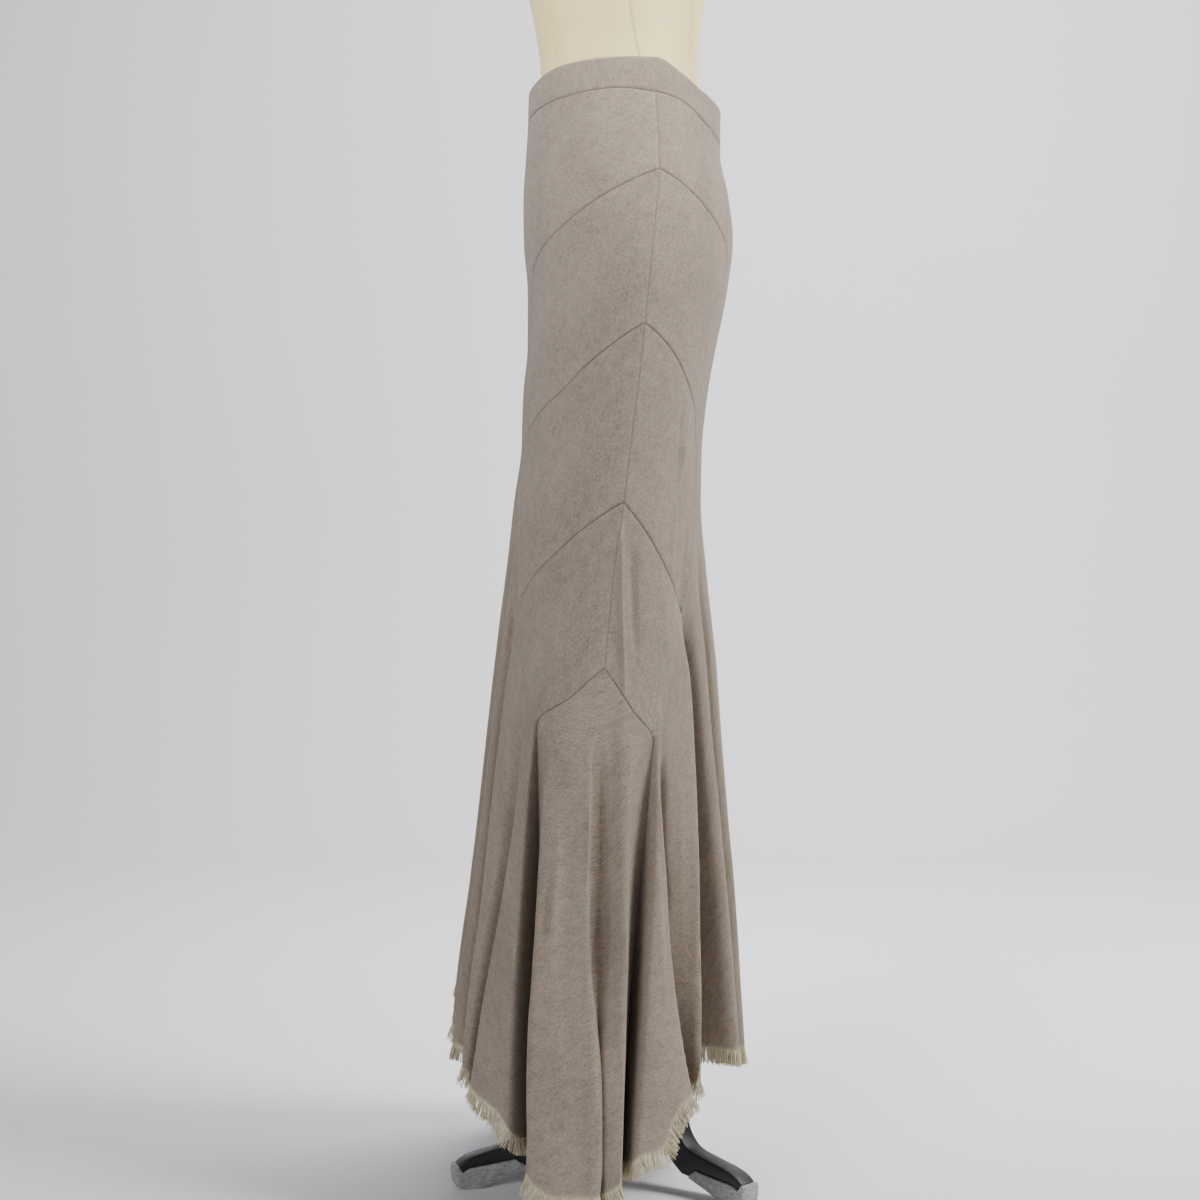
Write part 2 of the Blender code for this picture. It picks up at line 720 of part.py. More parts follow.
def make_stand():
    turned("post", ((POST_RADIUS, HUB_TOP + SEAT_GAP), (POST_RADIUS, FORM_BOTTOM - SEAT_GAP)))
    hub = (
        (HUB_RADIUS - HUB_EDGE, HUB_BOTTOM),
        (HUB_RADIUS, HUB_BOTTOM + HUB_EDGE),
        (HUB_RADIUS, HUB_TOP - HUB_EDGE),
        (HUB_RADIUS - HUB_EDGE, HUB_TOP),
    )
    turned("hub", hub)
    outline = rounded(LEG_OUTER_EDGE) + [*LEG_UNDERSIDE] + rounded(LEG_INNER_EDGE[:-1])
    outline += [LEG_INNER_EDGE[-1]]
    for where, angle in LEG_ANGLES.items():
        board(f"leg_{where}", outline, LEG_THICKNESS, angle, "stand_paint")
        board(f"tape_{where}", PAD_PROFILE, PAD_THICKNESS, angle, "tape")


def main():
    clear_scene()
    strips = left_strips()
    surfaces = make_surfaces(strips)
    means = shared_normals(surfaces.values())
    for name, surface in surfaces.items():
        cloth_wall(name, surface, means)
    fringe_walls(strips, means)
    make_form()
    make_stand()


main()
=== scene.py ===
"""Looks of a maxi skirt with chevron seams and a fringed hem, on its dress form and three-legged stand.

Metres, +Z up. The front of the skirt faces -Y and the wearer's left is +X.
A place on the cloth is an angle round the body (0 at centre front, 90 at the left side seam, 180 at centre
back, and less than 0 on the wearer's right) and a height. Each piece of the skirt is a strip between two
lines: share 0 of the way along it is at the side seam and share 1 at the hem.
"""

import copy
import math
from functools import partial

import bmesh
import bpy
import numpy as np
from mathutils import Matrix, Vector, noise


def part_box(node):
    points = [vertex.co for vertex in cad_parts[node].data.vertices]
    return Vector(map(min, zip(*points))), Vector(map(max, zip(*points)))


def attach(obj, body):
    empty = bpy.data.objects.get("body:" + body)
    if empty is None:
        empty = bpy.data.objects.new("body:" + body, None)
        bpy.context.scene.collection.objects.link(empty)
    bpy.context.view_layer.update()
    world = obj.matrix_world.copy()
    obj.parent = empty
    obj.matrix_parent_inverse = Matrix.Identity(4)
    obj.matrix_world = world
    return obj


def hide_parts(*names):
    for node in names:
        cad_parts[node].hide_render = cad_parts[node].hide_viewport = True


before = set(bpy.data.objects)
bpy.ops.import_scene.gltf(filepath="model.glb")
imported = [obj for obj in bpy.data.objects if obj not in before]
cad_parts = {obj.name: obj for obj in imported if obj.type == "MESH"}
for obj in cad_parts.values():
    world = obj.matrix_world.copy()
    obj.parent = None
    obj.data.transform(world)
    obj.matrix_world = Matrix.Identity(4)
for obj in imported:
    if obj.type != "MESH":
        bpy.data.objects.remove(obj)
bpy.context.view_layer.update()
POST_LOW, POST_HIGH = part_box("post")
AXIS_Y = (POST_LOW.y + POST_HIGH.y) / 2

# ---- The skirt's cut: the same lines that the solids were made from ----

SQUARENESS = 2.3  # exponent of the oval sections, 2 being an ellipse

# The cloth's outermost outline. height, front, back, half width, y of the side
SKIRT_SECTIONS = (
    (0.000, 0.178, 0.126, 0.258, -0.027),
    (0.040, 0.176, 0.126, 0.254, -0.027),
    (0.120, 0.170, 0.124, 0.240, -0.027),
    (0.200, 0.163, 0.120, 0.224, -0.027),
    (0.300, 0.149, 0.114, 0.202, -0.027),
    (0.370, 0.141, 0.108, 0.188, -0.025),
    (0.445, 0.133, 0.101, 0.174, -0.021),
    (0.510, 0.126, 0.096, 0.165, -0.016),
    (0.600, 0.114, 0.086, 0.162, -0.007),
    (0.675, 0.105, 0.080, 0.165, 0.003),
    (0.725, 0.098, 0.081, 0.167, 0.009),
    (0.780, 0.096, 0.087, 0.171, 0.016),
    (0.825, 0.092, 0.095, 0.174, 0.021),
    (0.880, 0.092, 0.106, 0.176, 0.026),
    (0.930, 0.096, 0.1115, 0.172, 0.031),
    (0.970, 0.0965, 0.107, 0.163, 0.035),
    (1.012, 0.094, 0.099, 0.150, 0.034),
    (1.055, 0.0915, 0.100, 0.134, 0.032),
    (1.100, 0.090, 0.101, 0.124, 0.031),
)
# angle, height of the waist seam, height of the waistband's top
WAISTBAND = (
    (0, 1.048, 1.078),
    (15, 1.049, 1.079),
    (45, 1.054, 1.0865),
    (75, 1.0575, 1.0888),
    (90, 1.053, 1.0876),
    (110, 1.044, 1.0725),
    (130, 1.030, 1.060),
    (150, 1.0215, 1.056),
    (180, 1.020, 1.056),
)
# angle, height of the hem
HEM = (
    (0, 0.198),
    (7, 0.168),
    (12, 0.152),
    (23, 0.149),
    (30, 0.142),
    (37, 0.127),
    (43, 0.120),
    (50, 0.116),
    (56, 0.111),
    (61, 0.099),
    (65, 0.080),
    (69.5, 0.063),
    (74, 0.051),
    (80, 0.045),
    (93, 0.046),
    (99, 0.062),
    (104, 0.079),
    (111, 0.083),
    (115, 0.104),
    (120, 0.119),
    (128, 0.129),
    (138, 0.142),
    (150, 0.148),
    (163, 0.143),
    (180, 0.128),
)
# apex height, first mark, second mark, turn, angle at the hem, fold start, fold depth
SEAMS = {
    "front_1": (0.975, (54, 0.931), (20, 0.886), (8.5, 0.800), 4.5, 0.740, 0.030),
    "front_2": (0.830, (55, 0.775), (16, 0.719), (15, 0.650), 12.5, 0.722, 0.036),
    "front_3": (0.665, (64, 0.624), (38.5, 0.575), (29, 0.500), 26, 0.590, 0.046),
    "front_4": (0.511, (77, 0.484), (60.8, 0.459), (61, 0.400), 65, 0.470, 0.066),
    "back_1": (0.975, (127, 0.938), (156, 0.900), (167, 0.810), 173, 0.680, 0.028),
    "back_2": (0.830, (120, 0.791), (146, 0.740), (156, 0.650), 164, 0.660, 0.036),
    "back_3": (0.665, (111, 0.623), (133, 0.553), (139, 0.500), 152, 0.590, 0.068),
    "back_4": (0.511, (101.5, 0.473), (112, 0.440), (111.5, 0.385), 100, 0.455, 0.064),
}
SIDE_SEAM_ANGLE = 90.0
FIRST_MARK, SECOND_MARK, TURN = 0.17, 0.33, 0.50  # shares of the way along a seam
CENTRE_TURN = 0.850  # height of the centre line at the seams' turn
FOLD_GROWTH = 1.7  # a fold deepens evenly at 1, and sooner above that
HEM_TREND = 0.14  # share of a strip over which it bends to the hem's curve

# share of the width at the seams' turn, the same at the hem, share of the fold's depth
PANEL_FOLD = ((0, 0, 1), (0.16, 0.16, 0.72), (0.36, 0.36, 0.38), (0.66, 0.66, 0.10), (1, 1, 0))
NARROW_FOLD = (
    (0, 0, 1),
    (0.11, 0.11, 0.62),
    (0.27, 0.27, 0.20),
    (0.50, 0.50, 0),
    (0.73, 0.73, 0.20),
    (0.89, 0.89, 0.62),
    (1, 1, 1),
)
# A narrow fold whose ridge leans to the front at the hem.
LEANING_FOLD = (
    (0, 0, 1),
    (0.18, 0.13, 0.60),
    (0.40, 0.29, 0.18),
    (0.64, 0.49, 0),
    (0.80, 0.70, 0.12),
    (0.92, 0.90, 0.50),
    (1, 1, 1),
)
# A narrow fold whose ridge leans to the side, so that its wall to the side is steep.
REAR_FOLD = (
    (0, 0, 1),
    (0.14, 0.14, 0.62),
    (0.36, 0.36, 0.20),
    (0.60, 0.60, 0),
    (0.79, 0.79, 0.14),
    (0.92, 0.92, 0.54),
    (1, 1, 1),
)
FRONT_FOLD = (
    (0, 0, 1),
    (0.09, 0.07, 0.45),
    (0.197, 0.156, 0),
    (0.479, 0.200, 0.06),
    (0.683, 0.246, 0.52),
    (0.759, 0.323, 0.03),
    (0.857, 0.513, 0),
    (0.93, 0.88, 0.01),
    (0.965, 0.93, 0.10),
    (0.985, 0.965, 0.38),
    (1, 1, 1),
)
BACK_FOLD = (
    (0, 0, 1),
    (0.06, 0.155, 0.72),
    (0.10, 0.30, 0.45),
    (0.155, 0.42, 0.16),
    (0.34, 0.45, 0.34),
    (0.58, 0.48, 0.54),
    (0.83, 0.505, 0.72),
    (0.875, 0.53, 0.05),
    (0.94, 0.80, 0.02),
    (0.975, 0.955, 0.10),
    (0.99, 0.982, 0.40),
    (1, 1, 1),
)
GODET_FOLD = (
    (0, 0, 1),
    (0.04, 0.036, 0.85),
    (0.08, 0.070, 0.58),
    (0.115, 0.107, 0.25),
    (0.145, 0.145, 0),
    (0.30, 0.351, 0.02),
    (0.44, 0.589, 0.02),
    (0.545, 0.737, 0),
    (0.56, 0.76, 0.36),
    (0.67, 0.837, 0.17),
    (0.79, 0.915, 0.03),
    (0.842, 0.945, 0.42),
    (0.92, 0.972, 0.74),
    (1, 1, 1),
)
TIER_FOLDS = {
    "front": {2: NARROW_FOLD, 3: LEANING_FOLD, 4: FRONT_FOLD},
    "back": {2: NARROW_FOLD, 3: REAR_FOLD, 4: BACK_FOLD},
}

# ---- How the cloth hangs ----

CLOTH = 0.0012  # thickness of the linen
BAND = 0.0022  # thickness of the waistband, which is double
ROWS = 150  # points along a strip, from the side seam to the hem
COLUMN_PITCH = 0.0042  # between the points across it
FEWEST_COLUMNS, MOST_COLUMNS = 26, 84
TRIAL_COLUMNS = 240  # points across a strip when its width is measured
EDGE_STEPS = (0.0, 0.0004, 0.0010, 0.0018, 0.0030, 0.0050)  # closer points beside an edge
EDGE_ROOM = 6  # a row shorter than this many of the last step has its edge steps drawn together
SAME_POINT = 2e-6  # points closer than this are one
NO_AREA = 1e-9  # a face smaller than this has none
TINY = 1e-12  # keeps a division from being by nothing
POINTED_ROWS = 4  # rows at a strip's start that can shrink to a point
ARC = 0.0027  # length of a degree round the body
BIAS = math.radians(38)  # the strips are cut this far off the straight grain

SEAM_ROLL = 0.0009  # how far a seamed edge sinks in
SEAM_ROLL_WIDTH = 0.0022
SIDE_ROLL = 0.6  # share of the roll on the side seam, which is pressed
SEAM_SHADE = 0.00055  # half width of the painted shade along a seam's groove
SEAM_SHADE_END, SIDE_SHADE_END = 1.6, 1.4  # half widths out at which the painted shade along a seam, and along the side seam, is gone
SIDE_SHADE = 0.6  # the pressed side seam's painted shade is fainter than the others'
FOLD_SHADE = 0.15  # share of a seam's painted shade that shows down in a fold
FRAY_WIDTH = 0.0035  # paler cloth along the raw hem
PUCKER = 0.00022  # height of the puckers along a seam
PUCKER_PITCH = 0.0094
PUCKER_FROM, PUCKER_REACH = 0.001, 0.004  # full from the seam up to here, then fading over this length
PUCKER_DRIFTS = ((1.4, 61, 2), (0.9, 143, 0))  # what makes their pitch uneven: turns, bends a metre, start

FOLD_SIGN, FOLD_DEEP = 0.0005, 0.006  # depths at which cloth begins to count as a fold, and fully does
CALM = 0.006  # creases fade out this close to a seam in a fold
FLAT_CALM = 0.35  # share by which they fade at a seam on flat cloth
CREASE_SHARE = 1.3  # every crease's height is its table's times this
CREASE_END = 0.3  # share of a crease's length over which its ends fade out
CREASE_REACH = 3  # half widths beyond which a crease adds nothing to see
SNUG, SWINGING = 0.95, 0.55  # heights at which the hips fill the cloth, and at which it swings free
SNUG_SWAY = 0.25  # share of the sways that is left on the hips
# waves round, up, shift, height
SWAYS = ((11.0, 4.0, 0, 0.0016), (34.0, 10.0, 7.3, 0.0006), (90.0, 30.0, 14.6, 0.0002))

# Creases of the wearer's left: where each runs, half its width and its height out of the cloth.
# ((angle, height), ...), half width, height
CREASES = (
    (((47, 1.038), (36, 1.026), (22, 1.009)), 0.0040, 0.0012),
    (((55, 1.030), (42, 1.008), (30, 0.985)), 0.0070, -0.0010),
    (((52, 0.902), (54, 0.781), (57, 0.669)), 0.0200, -0.0022),
    (((78, 0.760), (76, 0.700), (77, 0.649)), 0.0120, 0.0008),
    (((18, 0.716), (29, 0.652), (39, 0.575), (42, 0.490)), 0.0040, 0.0014),
    (((30, 0.700), (40, 0.630), (47, 0.540)), 0.0060, -0.0010),
    (((88, 0.663), (92, 0.622), (96, 0.538), (99, 0.462)), 0.0028, 0.0022),
    (((96, 0.640), (100, 0.566), (103, 0.500)), 0.0055, -0.0024),
    (((116, 0.600), (117, 0.560), (119, 0.515)), 0.0050, 0.0010),
    (((136, 0.773), (134, 0.735), (131, 0.715), (125, 0.650), (119, 0.575)), 0.0030, 0.0018),
    (((124, 0.776), (128, 0.697), (126, 0.640)), 0.0045, -0.0014),
    (((156, 0.700), (146, 0.642), (131, 0.566), (128, 0.528)), 0.0032, 0.0020),
    (((148, 0.690), (139, 0.640), (127, 0.570)), 0.0050, -0.0020),
    (((74, 0.330), (73, 0.290), (72, 0.255)), 0.0028, -0.0016),
    (((77, 0.350), (76, 0.290), (76, 0.230)), 0.0040, 0.0010),
    (((77, 0.620), (75, 0.580), (73, 0.545)), 0.0080, -0.0010),
    (((68, 0.570), (67, 0.530), (66, 0.480)), 0.0060, 0.0010),
    (((80, 0.420), (81, 0.280), (83, 0.130)), 0.0110, -0.0016),
    (((70, 0.240), (69, 0.160), (67, 0.080)), 0.0060, 0.0016),
    (((112, 0.400), (113, 0.280), (114, 0.170)), 0.0045, 0.0014),
    (((118, 0.948), (126, 0.925), (131, 0.900)), 0.0080, -0.0006),
)
# Creases of the large folds, on both sides alike: the hollow where the front fold begins and the ridge beside
# it; the hollow beside the side fold's step, the cut under that step and the ridge in front of it; the ridge
# along the next edge behind and the hollow beside that; and a fill in the side fold at the hem.
FOLD_CREASES = (
    (((13, 0.690), (21, 0.634), (25, 0.594), (28.5, 0.556), (30, 0.518)), 0.0042, -0.0085),
    (((18, 0.690), (27, 0.634), (31.5, 0.596), (34.5, 0.562)), 0.0030, 0.0022),
    (((93, 0.490), (94.5, 0.430), (95, 0.330), (95, 0.200)), 0.0070, -0.0045),
    (((90.2, 0.460), (91.0, 0.400), (91.6, 0.337), (91.8, 0.265), (91.8, 0.190)), 0.0050, -0.0085),
    (((87.0, 0.450), (88.3, 0.390), (89.2, 0.330), (89.4, 0.260), (89.6, 0.170)), 0.0028, 0.0018),
    (((113.6, 0.430), (114.4, 0.350), (118, 0.270), (122, 0.190)), 0.0030, 0.0020),
    (((117.5, 0.440), (118, 0.400), (118.5, 0.336), (122.5, 0.264)), 0.0060, -0.0060),
    (((93.5, 0.200), (93.5, 0.020)), 0.0080, 0.0060),
)
# How the right side's small creases differ, taken in turn: degrees further round, higher up, share of height
RIGHT_CHANGES = ((4, 0.012, 0.9), (-5, -0.018, 1.2), (7, 0.006, 0.7), (-2, 0.024, 1.1), (3, -0.009, 1.3))


def through(x, xs, ys):
    """Values at x of a smooth curve through marks that never swings past them; ys may be arrays like x."""
    x = np.atleast_1d(np.asarray(x, float))
    xs = np.asarray(xs, float)
    shape = np.broadcast_shapes(x.shape, *(np.shape(y) for y in ys))
    x = np.broadcast_to(np.clip(x, xs[0], xs[-1]), shape)
    ys = np.array([np.broadcast_to(y, shape) for y in ys], float)
    widths = np.diff(xs).reshape(-1, *[1] * len(shape))
    steps = np.diff(ys, axis=0) / widths
    before, after = steps[:-1], steps[1:]
    same_way = before * after > 0
    middle = np.where(same_way, 2 * before * after / np.where(same_way, before + after, 1), 0)
    slopes = np.concatenate((steps[:1], middle, steps[-1:]))
    k = np.clip(np.searchsorted(xs, x, side="right") - 1, 0, len(xs) - 2)

    def at(table, index):
        return np.take_along_axis(table, index[None], 0)[0]

    width = np.diff(xs)[k]
    t = (x - xs[k]) / width
    start = (1 + 2 * t) * (1 - t) ** 2 * at(ys, k) + t * (1 - t) ** 2 * width * at(slopes, k)
    return start + t * t * (3 - 2 * t) * at(ys, k + 1) + t * t * (t - 1) * width * at(slopes, k + 1)


def smooth(x, rows, column=1):
    """A column of a table at x."""
    return through(x, [row[0] for row in rows], [row[column] for row in rows])


def ramp(x, start, end):
    """0 before start, 1 after end and a smooth rise between."""
    t = np.clip((x - start) / (end - start), 0, 1)
    return t * t * (3 - 2 * t)


def oval_points(sections, angle, z):
    """Points of oval sections, on the wearer's left side."""
    front, back, half_width, side_y = (smooth(z, sections, column) for column in (1, 2, 3, 4))
    power = 2 / SQUARENESS
    turn = np.radians(angle)
    x = half_width * np.maximum(np.sin(turn), 0) ** power
    toward_front = side_y - (front + side_y) * np.maximum(np.cos(turn), 0) ** power
    toward_back = side_y + (back - side_y) * np.maximum(-np.cos(turn), 0) ** power
    y = np.where(angle <= SIDE_SEAM_ANGLE, toward_front, toward_back)
    return np.stack(np.broadcast_arrays(x, y, z), -1)


def way_inwards(points, sections, z):
    """The way from points of oval sections to the middle of their section, and its length."""
    middle = points.copy()
    middle[..., 0] = 0
    middle[..., 1] = smooth(z, sections, 4)
    way = middle - points
    return way, np.linalg.norm(way, axis=-1)


def cloth_points(angle, z, inward):
    """Points of the cloth, moved in from the outline towards the middle of the section."""
    points = oval_points(SKIRT_SECTIONS, angle, z)
    way, length = way_inwards(points, SKIRT_SECTIONS, z)
    return points + way * (inward / length)[..., None]


def seam_places(seam, s):
    """Angles, heights and fold depths at shares s of the way from the side seam to the hem."""
    apex, first, second, turn, hem_angle, start, deepest = SEAMS[seam]
    low = smooth(hem_angle, HEM)[0]
    marks = ((SIDE_SEAM_ANGLE, apex), first, second, turn, (hem_angle, low))
    shares = (0, FIRST_MARK, SECOND_MARK, TURN, 1)
    angle, z = (through(s, shares, [mark[i] for mark in marks]) for i in (0, 1))
    down = np.clip((start - z) / (start - low), 0, 1)
    return angle, z, deepest * (1 - (1 - down) ** FOLD_GROWTH)


def waist_places(end, s):
    """The waist seam from the side to the centre, then the centre line, a ridge, down to the hem."""
    angle = SIDE_SEAM_ANGLE + (end - SIDE_SEAM_ANGLE) * np.clip(s / SECOND_MARK, 0, 1)
    marks = (smooth(end, WAISTBAND)[0], CENTRE_TURN, smooth(end, HEM)[0])
    z = np.where(s <= SECOND_MARK, smooth(angle, WAISTBAND), through(s, (SECOND_MARK, TURN, 1), marks))
    return angle, z, None


def strip_places(upper, lower, fold, s, w):
    """Angles, heights and depths at shares s along a strip and w across it."""
    even = np.arange(len(fold)) / (len(fold) - 1)
    at_turn, at_hem, share = (through(w, even, [row[i] for row in fold]) for i in range(3))

    def linear(s, t):
        (a0, z0, d0), (a1, z1, d1) = upper(s), lower(s)
        depth = d0 if d1 is None else d0 + (d1 - d0) * t
        return a0 + (a1 - a0) * t, z0 + (z1 - z0) * t, depth

    angle, z, depth = linear(s, through(s, (0, TURN, 1), (w, at_turn, at_hem)))
    hem_angle, hem_z, _ = linear(np.ones((1, 1)), at_hem)
    near_hem = np.clip((s - 1 + HEM_TREND) / HEM_TREND, 0, 1) ** 2
    return angle, z + (smooth(hem_angle, HEM) - hem_z) * near_hem, depth * share


def lengths(points, axis):
    """The length along the rows or columns of a grid up to each point."""
    steps = np.linalg.norm(np.diff(points, axis=axis), axis=-1)
    first = np.zeros_like(np.take(steps, [0], axis=axis))
    return np.concatenate((first, np.cumsum(steps, axis=axis)), axis=axis)


class Grid:
    """A grid of cloth points with what their place needs: angle, height, distance from the edges."""

    def __init__(self, points, angle, z, seam_edges, hem=True):
        self.points, self.angle, self.z = points, angle, z
        self.normals = grid_normals(points)
        across, along = lengths(points, 1), lengths(points, 0)
        self.thread = np.stack((across, along), -1)
        self.from_upper, self.from_lower = across, across[:, -1:] - across
        self.from_side, self.from_hem = along, along[-1:] - along
        far = np.full(across.shape, 1.0)
        self.seam = np.minimum(self.from_upper, np.where(seam_edges, self.from_lower, far))
        self.fray = np.clip(1 - self.from_hem / FRAY_WIDTH, 0, 1) if hem else np.zeros(across.shape)
        # line: how strongly painted shade along the seams darkens each point, set when the grid is hung
        self.line = np.zeros(across.shape)

    def mirror(self):
        """The same grid on the wearer's right."""
        other = copy.deepcopy(self)
        other.points = self.points * (-1, 1, 1)
        other.normals = self.normals * (-1, 1, 1)
        other.angle = -self.angle
        return other


def grid_normals(points):
    """Normals of a grid on the side away from the body."""
    normals = np.cross(np.gradient(points, axis=0), np.gradient(points, axis=1))
    size = np.linalg.norm(normals, axis=-1, keepdims=True)
    normals = normals / np.maximum(size, TINY)
    # Where a strip's first rows have shrunk to a point, the next row's normals stand in.
    for row in range(POINTED_ROWS - 1, -1, -1):
        if size[row].max() < NO_AREA:
            normals[row] = normals[row + 1]
    outward = np.sum(normals * points * (1, 1, 0))
    return normals if outward > 0 else -normals


def strip_grid(upper, lower, fold, centre_below=False):
    """A strip of cloth as a grid: even steps along it, and even lengths across it with closer edges."""
    s = np.linspace(0, 1, ROWS)
    edge = np.array(EDGE_STEPS[1:]) / (ROWS * COLUMN_PITCH)
    s = np.unique(np.concatenate((s, edge, 1 - edge)))[:, None]
    even = np.linspace(0, 1, TRIAL_COLUMNS)[None, :]
    angle, z, depth = strip_places(upper, lower, fold, s, even)
    length = lengths(cloth_points(angle, z, depth), 1)
    total = length[:, -1]
    count = int(np.clip(round(total.max() / COLUMN_PITCH), FEWEST_COLUMNS, MOST_COLUMNS))
    w = np.zeros((len(s), count + 2 * (len(EDGE_STEPS) - 1)))
    for row in range(len(s)):
        steps = np.array(EDGE_STEPS) * min(1, total[row] / (EDGE_ROOM * EDGE_STEPS[-1]))
        inner = np.linspace(steps[-1], total[row] - steps[-1], count)
        wanted = np.concatenate((steps[:-1], inner, total[row] - steps[-2::-1]))
        w[row] = np.interp(wanted, length[row], even[0]) if total[row] > 0 else np.linspace(0, 1, w.shape[1])
    angle, z, depth = strip_places(upper, lower, fold, s, w)
    seamed = (s <= SECOND_MARK) if centre_below else np.ones_like(s, bool)
    grid = Grid(cloth_points(angle, z, depth), angle, z, seamed)
    grid.depth = depth
    grid.open_edge = np.broadcast_to(seamed, angle.shape)[:, -1]
    if centre_below:
        # The centre line is the fold of one piece, so both halves share its normals.
        on_centre = ~grid.open_edge
        grid.normals[on_centre, -1, 0] = 0
        grid.normals /= np.linalg.norm(grid.normals, axis=-1, keepdims=True)
    return grid


def crease_table():
    """The creases of both sides, with the right side's in places and heights of their own."""
    found = list(CREASES)
    for number, (marks, width, height) in enumerate(CREASES):
        turn, up, share = RIGHT_CHANGES[number % len(RIGHT_CHANGES)]
        found.append(([(-angle - turn, z + up) for angle, z in marks], width, height * share))
    for marks, width, height in FOLD_CREASES:
        found.append((marks, width, height))
        found.append(([(-angle, z) for angle, z in marks], width, height))
    return found


def crease_height(angle, z, marks, width, height):
    """What one crease adds, fading out towards both its ends."""
    best = np.full(angle.shape, 1.0)
    along = np.zeros(angle.shape)
    places = [np.array((a * ARC, h)) for a, h in marks]
    pieces = list(zip(places, places[1:]))
    whole = sum(np.linalg.norm(end - start) for start, end in pieces)
    so_far = 0.0
    flat = np.stack((angle * ARC, z), -1)
    for start, end in pieces:
        run = end - start
        length = np.linalg.norm(run)
        t = np.clip((flat - start) @ run / length**2, 0, 1)
        distance = np.linalg.norm(flat - start - t[..., None] * run, axis=-1)
        along = np.where(distance < best, (so_far + t * length) / whole, along)
        best = np.minimum(best, distance)
        so_far += length
    ends = ramp(np.minimum(along, 1 - along), 0, CREASE_END)
    return height * np.exp(-((best / width) ** 2)) * ends


def sway(points, around, up, shift):
    """A soft random wave over a grid of points, with so many bends a metre round and up."""
    flat = points.reshape(-1, 3)
    wave = [noise.noise(Vector((x * around + shift, y * around, z * up))) for x, y, z in flat]
    return np.array(wave).reshape(points.shape[:-1])


def seam_shade_strength(distance, end=SEAM_SHADE_END):
    """How dark the painted shade along a seam's groove is at a distance from it."""
    return np.clip(end - distance / SEAM_SHADE, 0, 1)


def hang(grid):
    """Lays the creases, sways, puckers and rolled seams on a grid, and the painted shade along its seams."""
    lift = np.zeros(grid.angle.shape)
    for marks, width, height in crease_table():
        reach = CREASE_REACH * width
        low_a, high_a = min(a for a, _ in marks) - reach / ARC, max(a for a, _ in marks) + reach / ARC
        low_z, high_z = min(h for _, h in marks) - reach, max(h for _, h in marks) + reach
        if grid.angle.max() < low_a or grid.angle.min() > high_a:
            continue
        if grid.z.max() < low_z or grid.z.min() > high_z:
            continue
        lift += crease_height(grid.angle, grid.z, marks, width, CREASE_SHARE * height)
    loose = SNUG_SWAY + (1 - SNUG_SWAY) * ramp(-grid.z, -SNUG, -SWINGING)
    for around, up, shift, height in SWAYS:
        lift += height * loose * sway(grid.points, around, up, shift)
    folded = ramp(grid.depth, FOLD_SIGN, FOLD_DEEP)
    lift *= 1 - ramp(-grid.seam, -CALM, 0) * np.maximum(folded, FLAT_CALM)
    rolled = ramp(-grid.seam, -SEAM_ROLL_WIDTH, 0) + SIDE_ROLL * ramp(-grid.from_side, -SEAM_ROLL_WIDTH, 0)
    beside = np.exp(-np.maximum(grid.seam - PUCKER_FROM, 0) / PUCKER_REACH)
    along = grid.thread[..., 1]
    drift = sum(turn * np.sin(along * bends + start) for turn, bends, start in PUCKER_DRIFTS)
    pucker = PUCKER * np.sin(along * 2 * math.pi / PUCKER_PITCH + drift) * beside
    lift += (pucker - SEAM_ROLL * np.minimum(rolled, 1)) * (1 - folded)
    grid.points = grid.points + grid.normals * lift[..., None]
    # Painted shade along the seams and the side seam, fainter down in the folds.
    seam_shade = seam_shade_strength(grid.seam) * (1 - (1 - FOLD_SHADE) * folded)
    grid.line = np.maximum(seam_shade, SIDE_SHADE * seam_shade_strength(grid.from_side, SIDE_SHADE_END))


BAND_COLUMNS = 421  # points round the waistband
# The waistband's rows of points, as shares of its depth from its top
BAND_ROWS = (0, 0.02, 0.05, 0.09, 0.16, 0.28, 0.4, 0.52, 0.64, 0.76, 0.86, 0.92, 0.96, 0.985, 1)
BAND_SWAYS = ((16, 30, 0, 0.0009), (60, 25, 5, 0.00035))  # waves round, up, shift, height
BAND_CALM = 0.004  # the sways fade out this close to its edges
BAND_ROLL, BAND_ROLL_WIDTH = 0.0011, 0.0016  # how far its top edge turns in


def waistband_grid():
    """The waistband: a ring on the waist seam, closed at its ends by the same first and last column."""
    angle = np.linspace(-180, 180, BAND_COLUMNS)[None, :]
    share = np.array(BAND_ROWS)
    top, seam = smooth(np.abs(angle), WAISTBAND, 2), smooth(np.abs(angle), WAISTBAND, 1)
    z = top + (seam - top) * share[:, None]
    every = np.broadcast_to(angle, z.shape)
    points = cloth_points(np.abs(every), z, 0 * z)
    points[..., 0] *= np.sign(every)
    grid = Grid(points, every, z, False, hem=False)
    grid.depth = 0 * z
    grid.open_edge = np.zeros(len(share), bool)
    grid.normals[:, [0, -1]] = (0, 1, 0)
    round_the_waist = every * ARC
    grid.thread = np.stack((z, round_the_waist), -1)
    height_down = top - z
    height_up = z - seam
    lift = np.zeros(z.shape)
    for around, up, shift, height in BAND_SWAYS:
        lift += height * sway(points, around, up, shift)
    lift *= ramp(height_down, 0, BAND_CALM) * ramp(height_up, 0, BAND_CALM)
    lift -= BAND_ROLL * ramp(-height_down, -BAND_ROLL_WIDTH, 0)
    lift -= SEAM_ROLL * ramp(-height_up, -SEAM_ROLL_WIDTH, 0)
    grid.points = points + grid.normals * lift[..., None]
    # Painted shade along the waist seam.
    grid.line = seam_shade_strength(height_up)
    return grid


# ---- Meshes ----


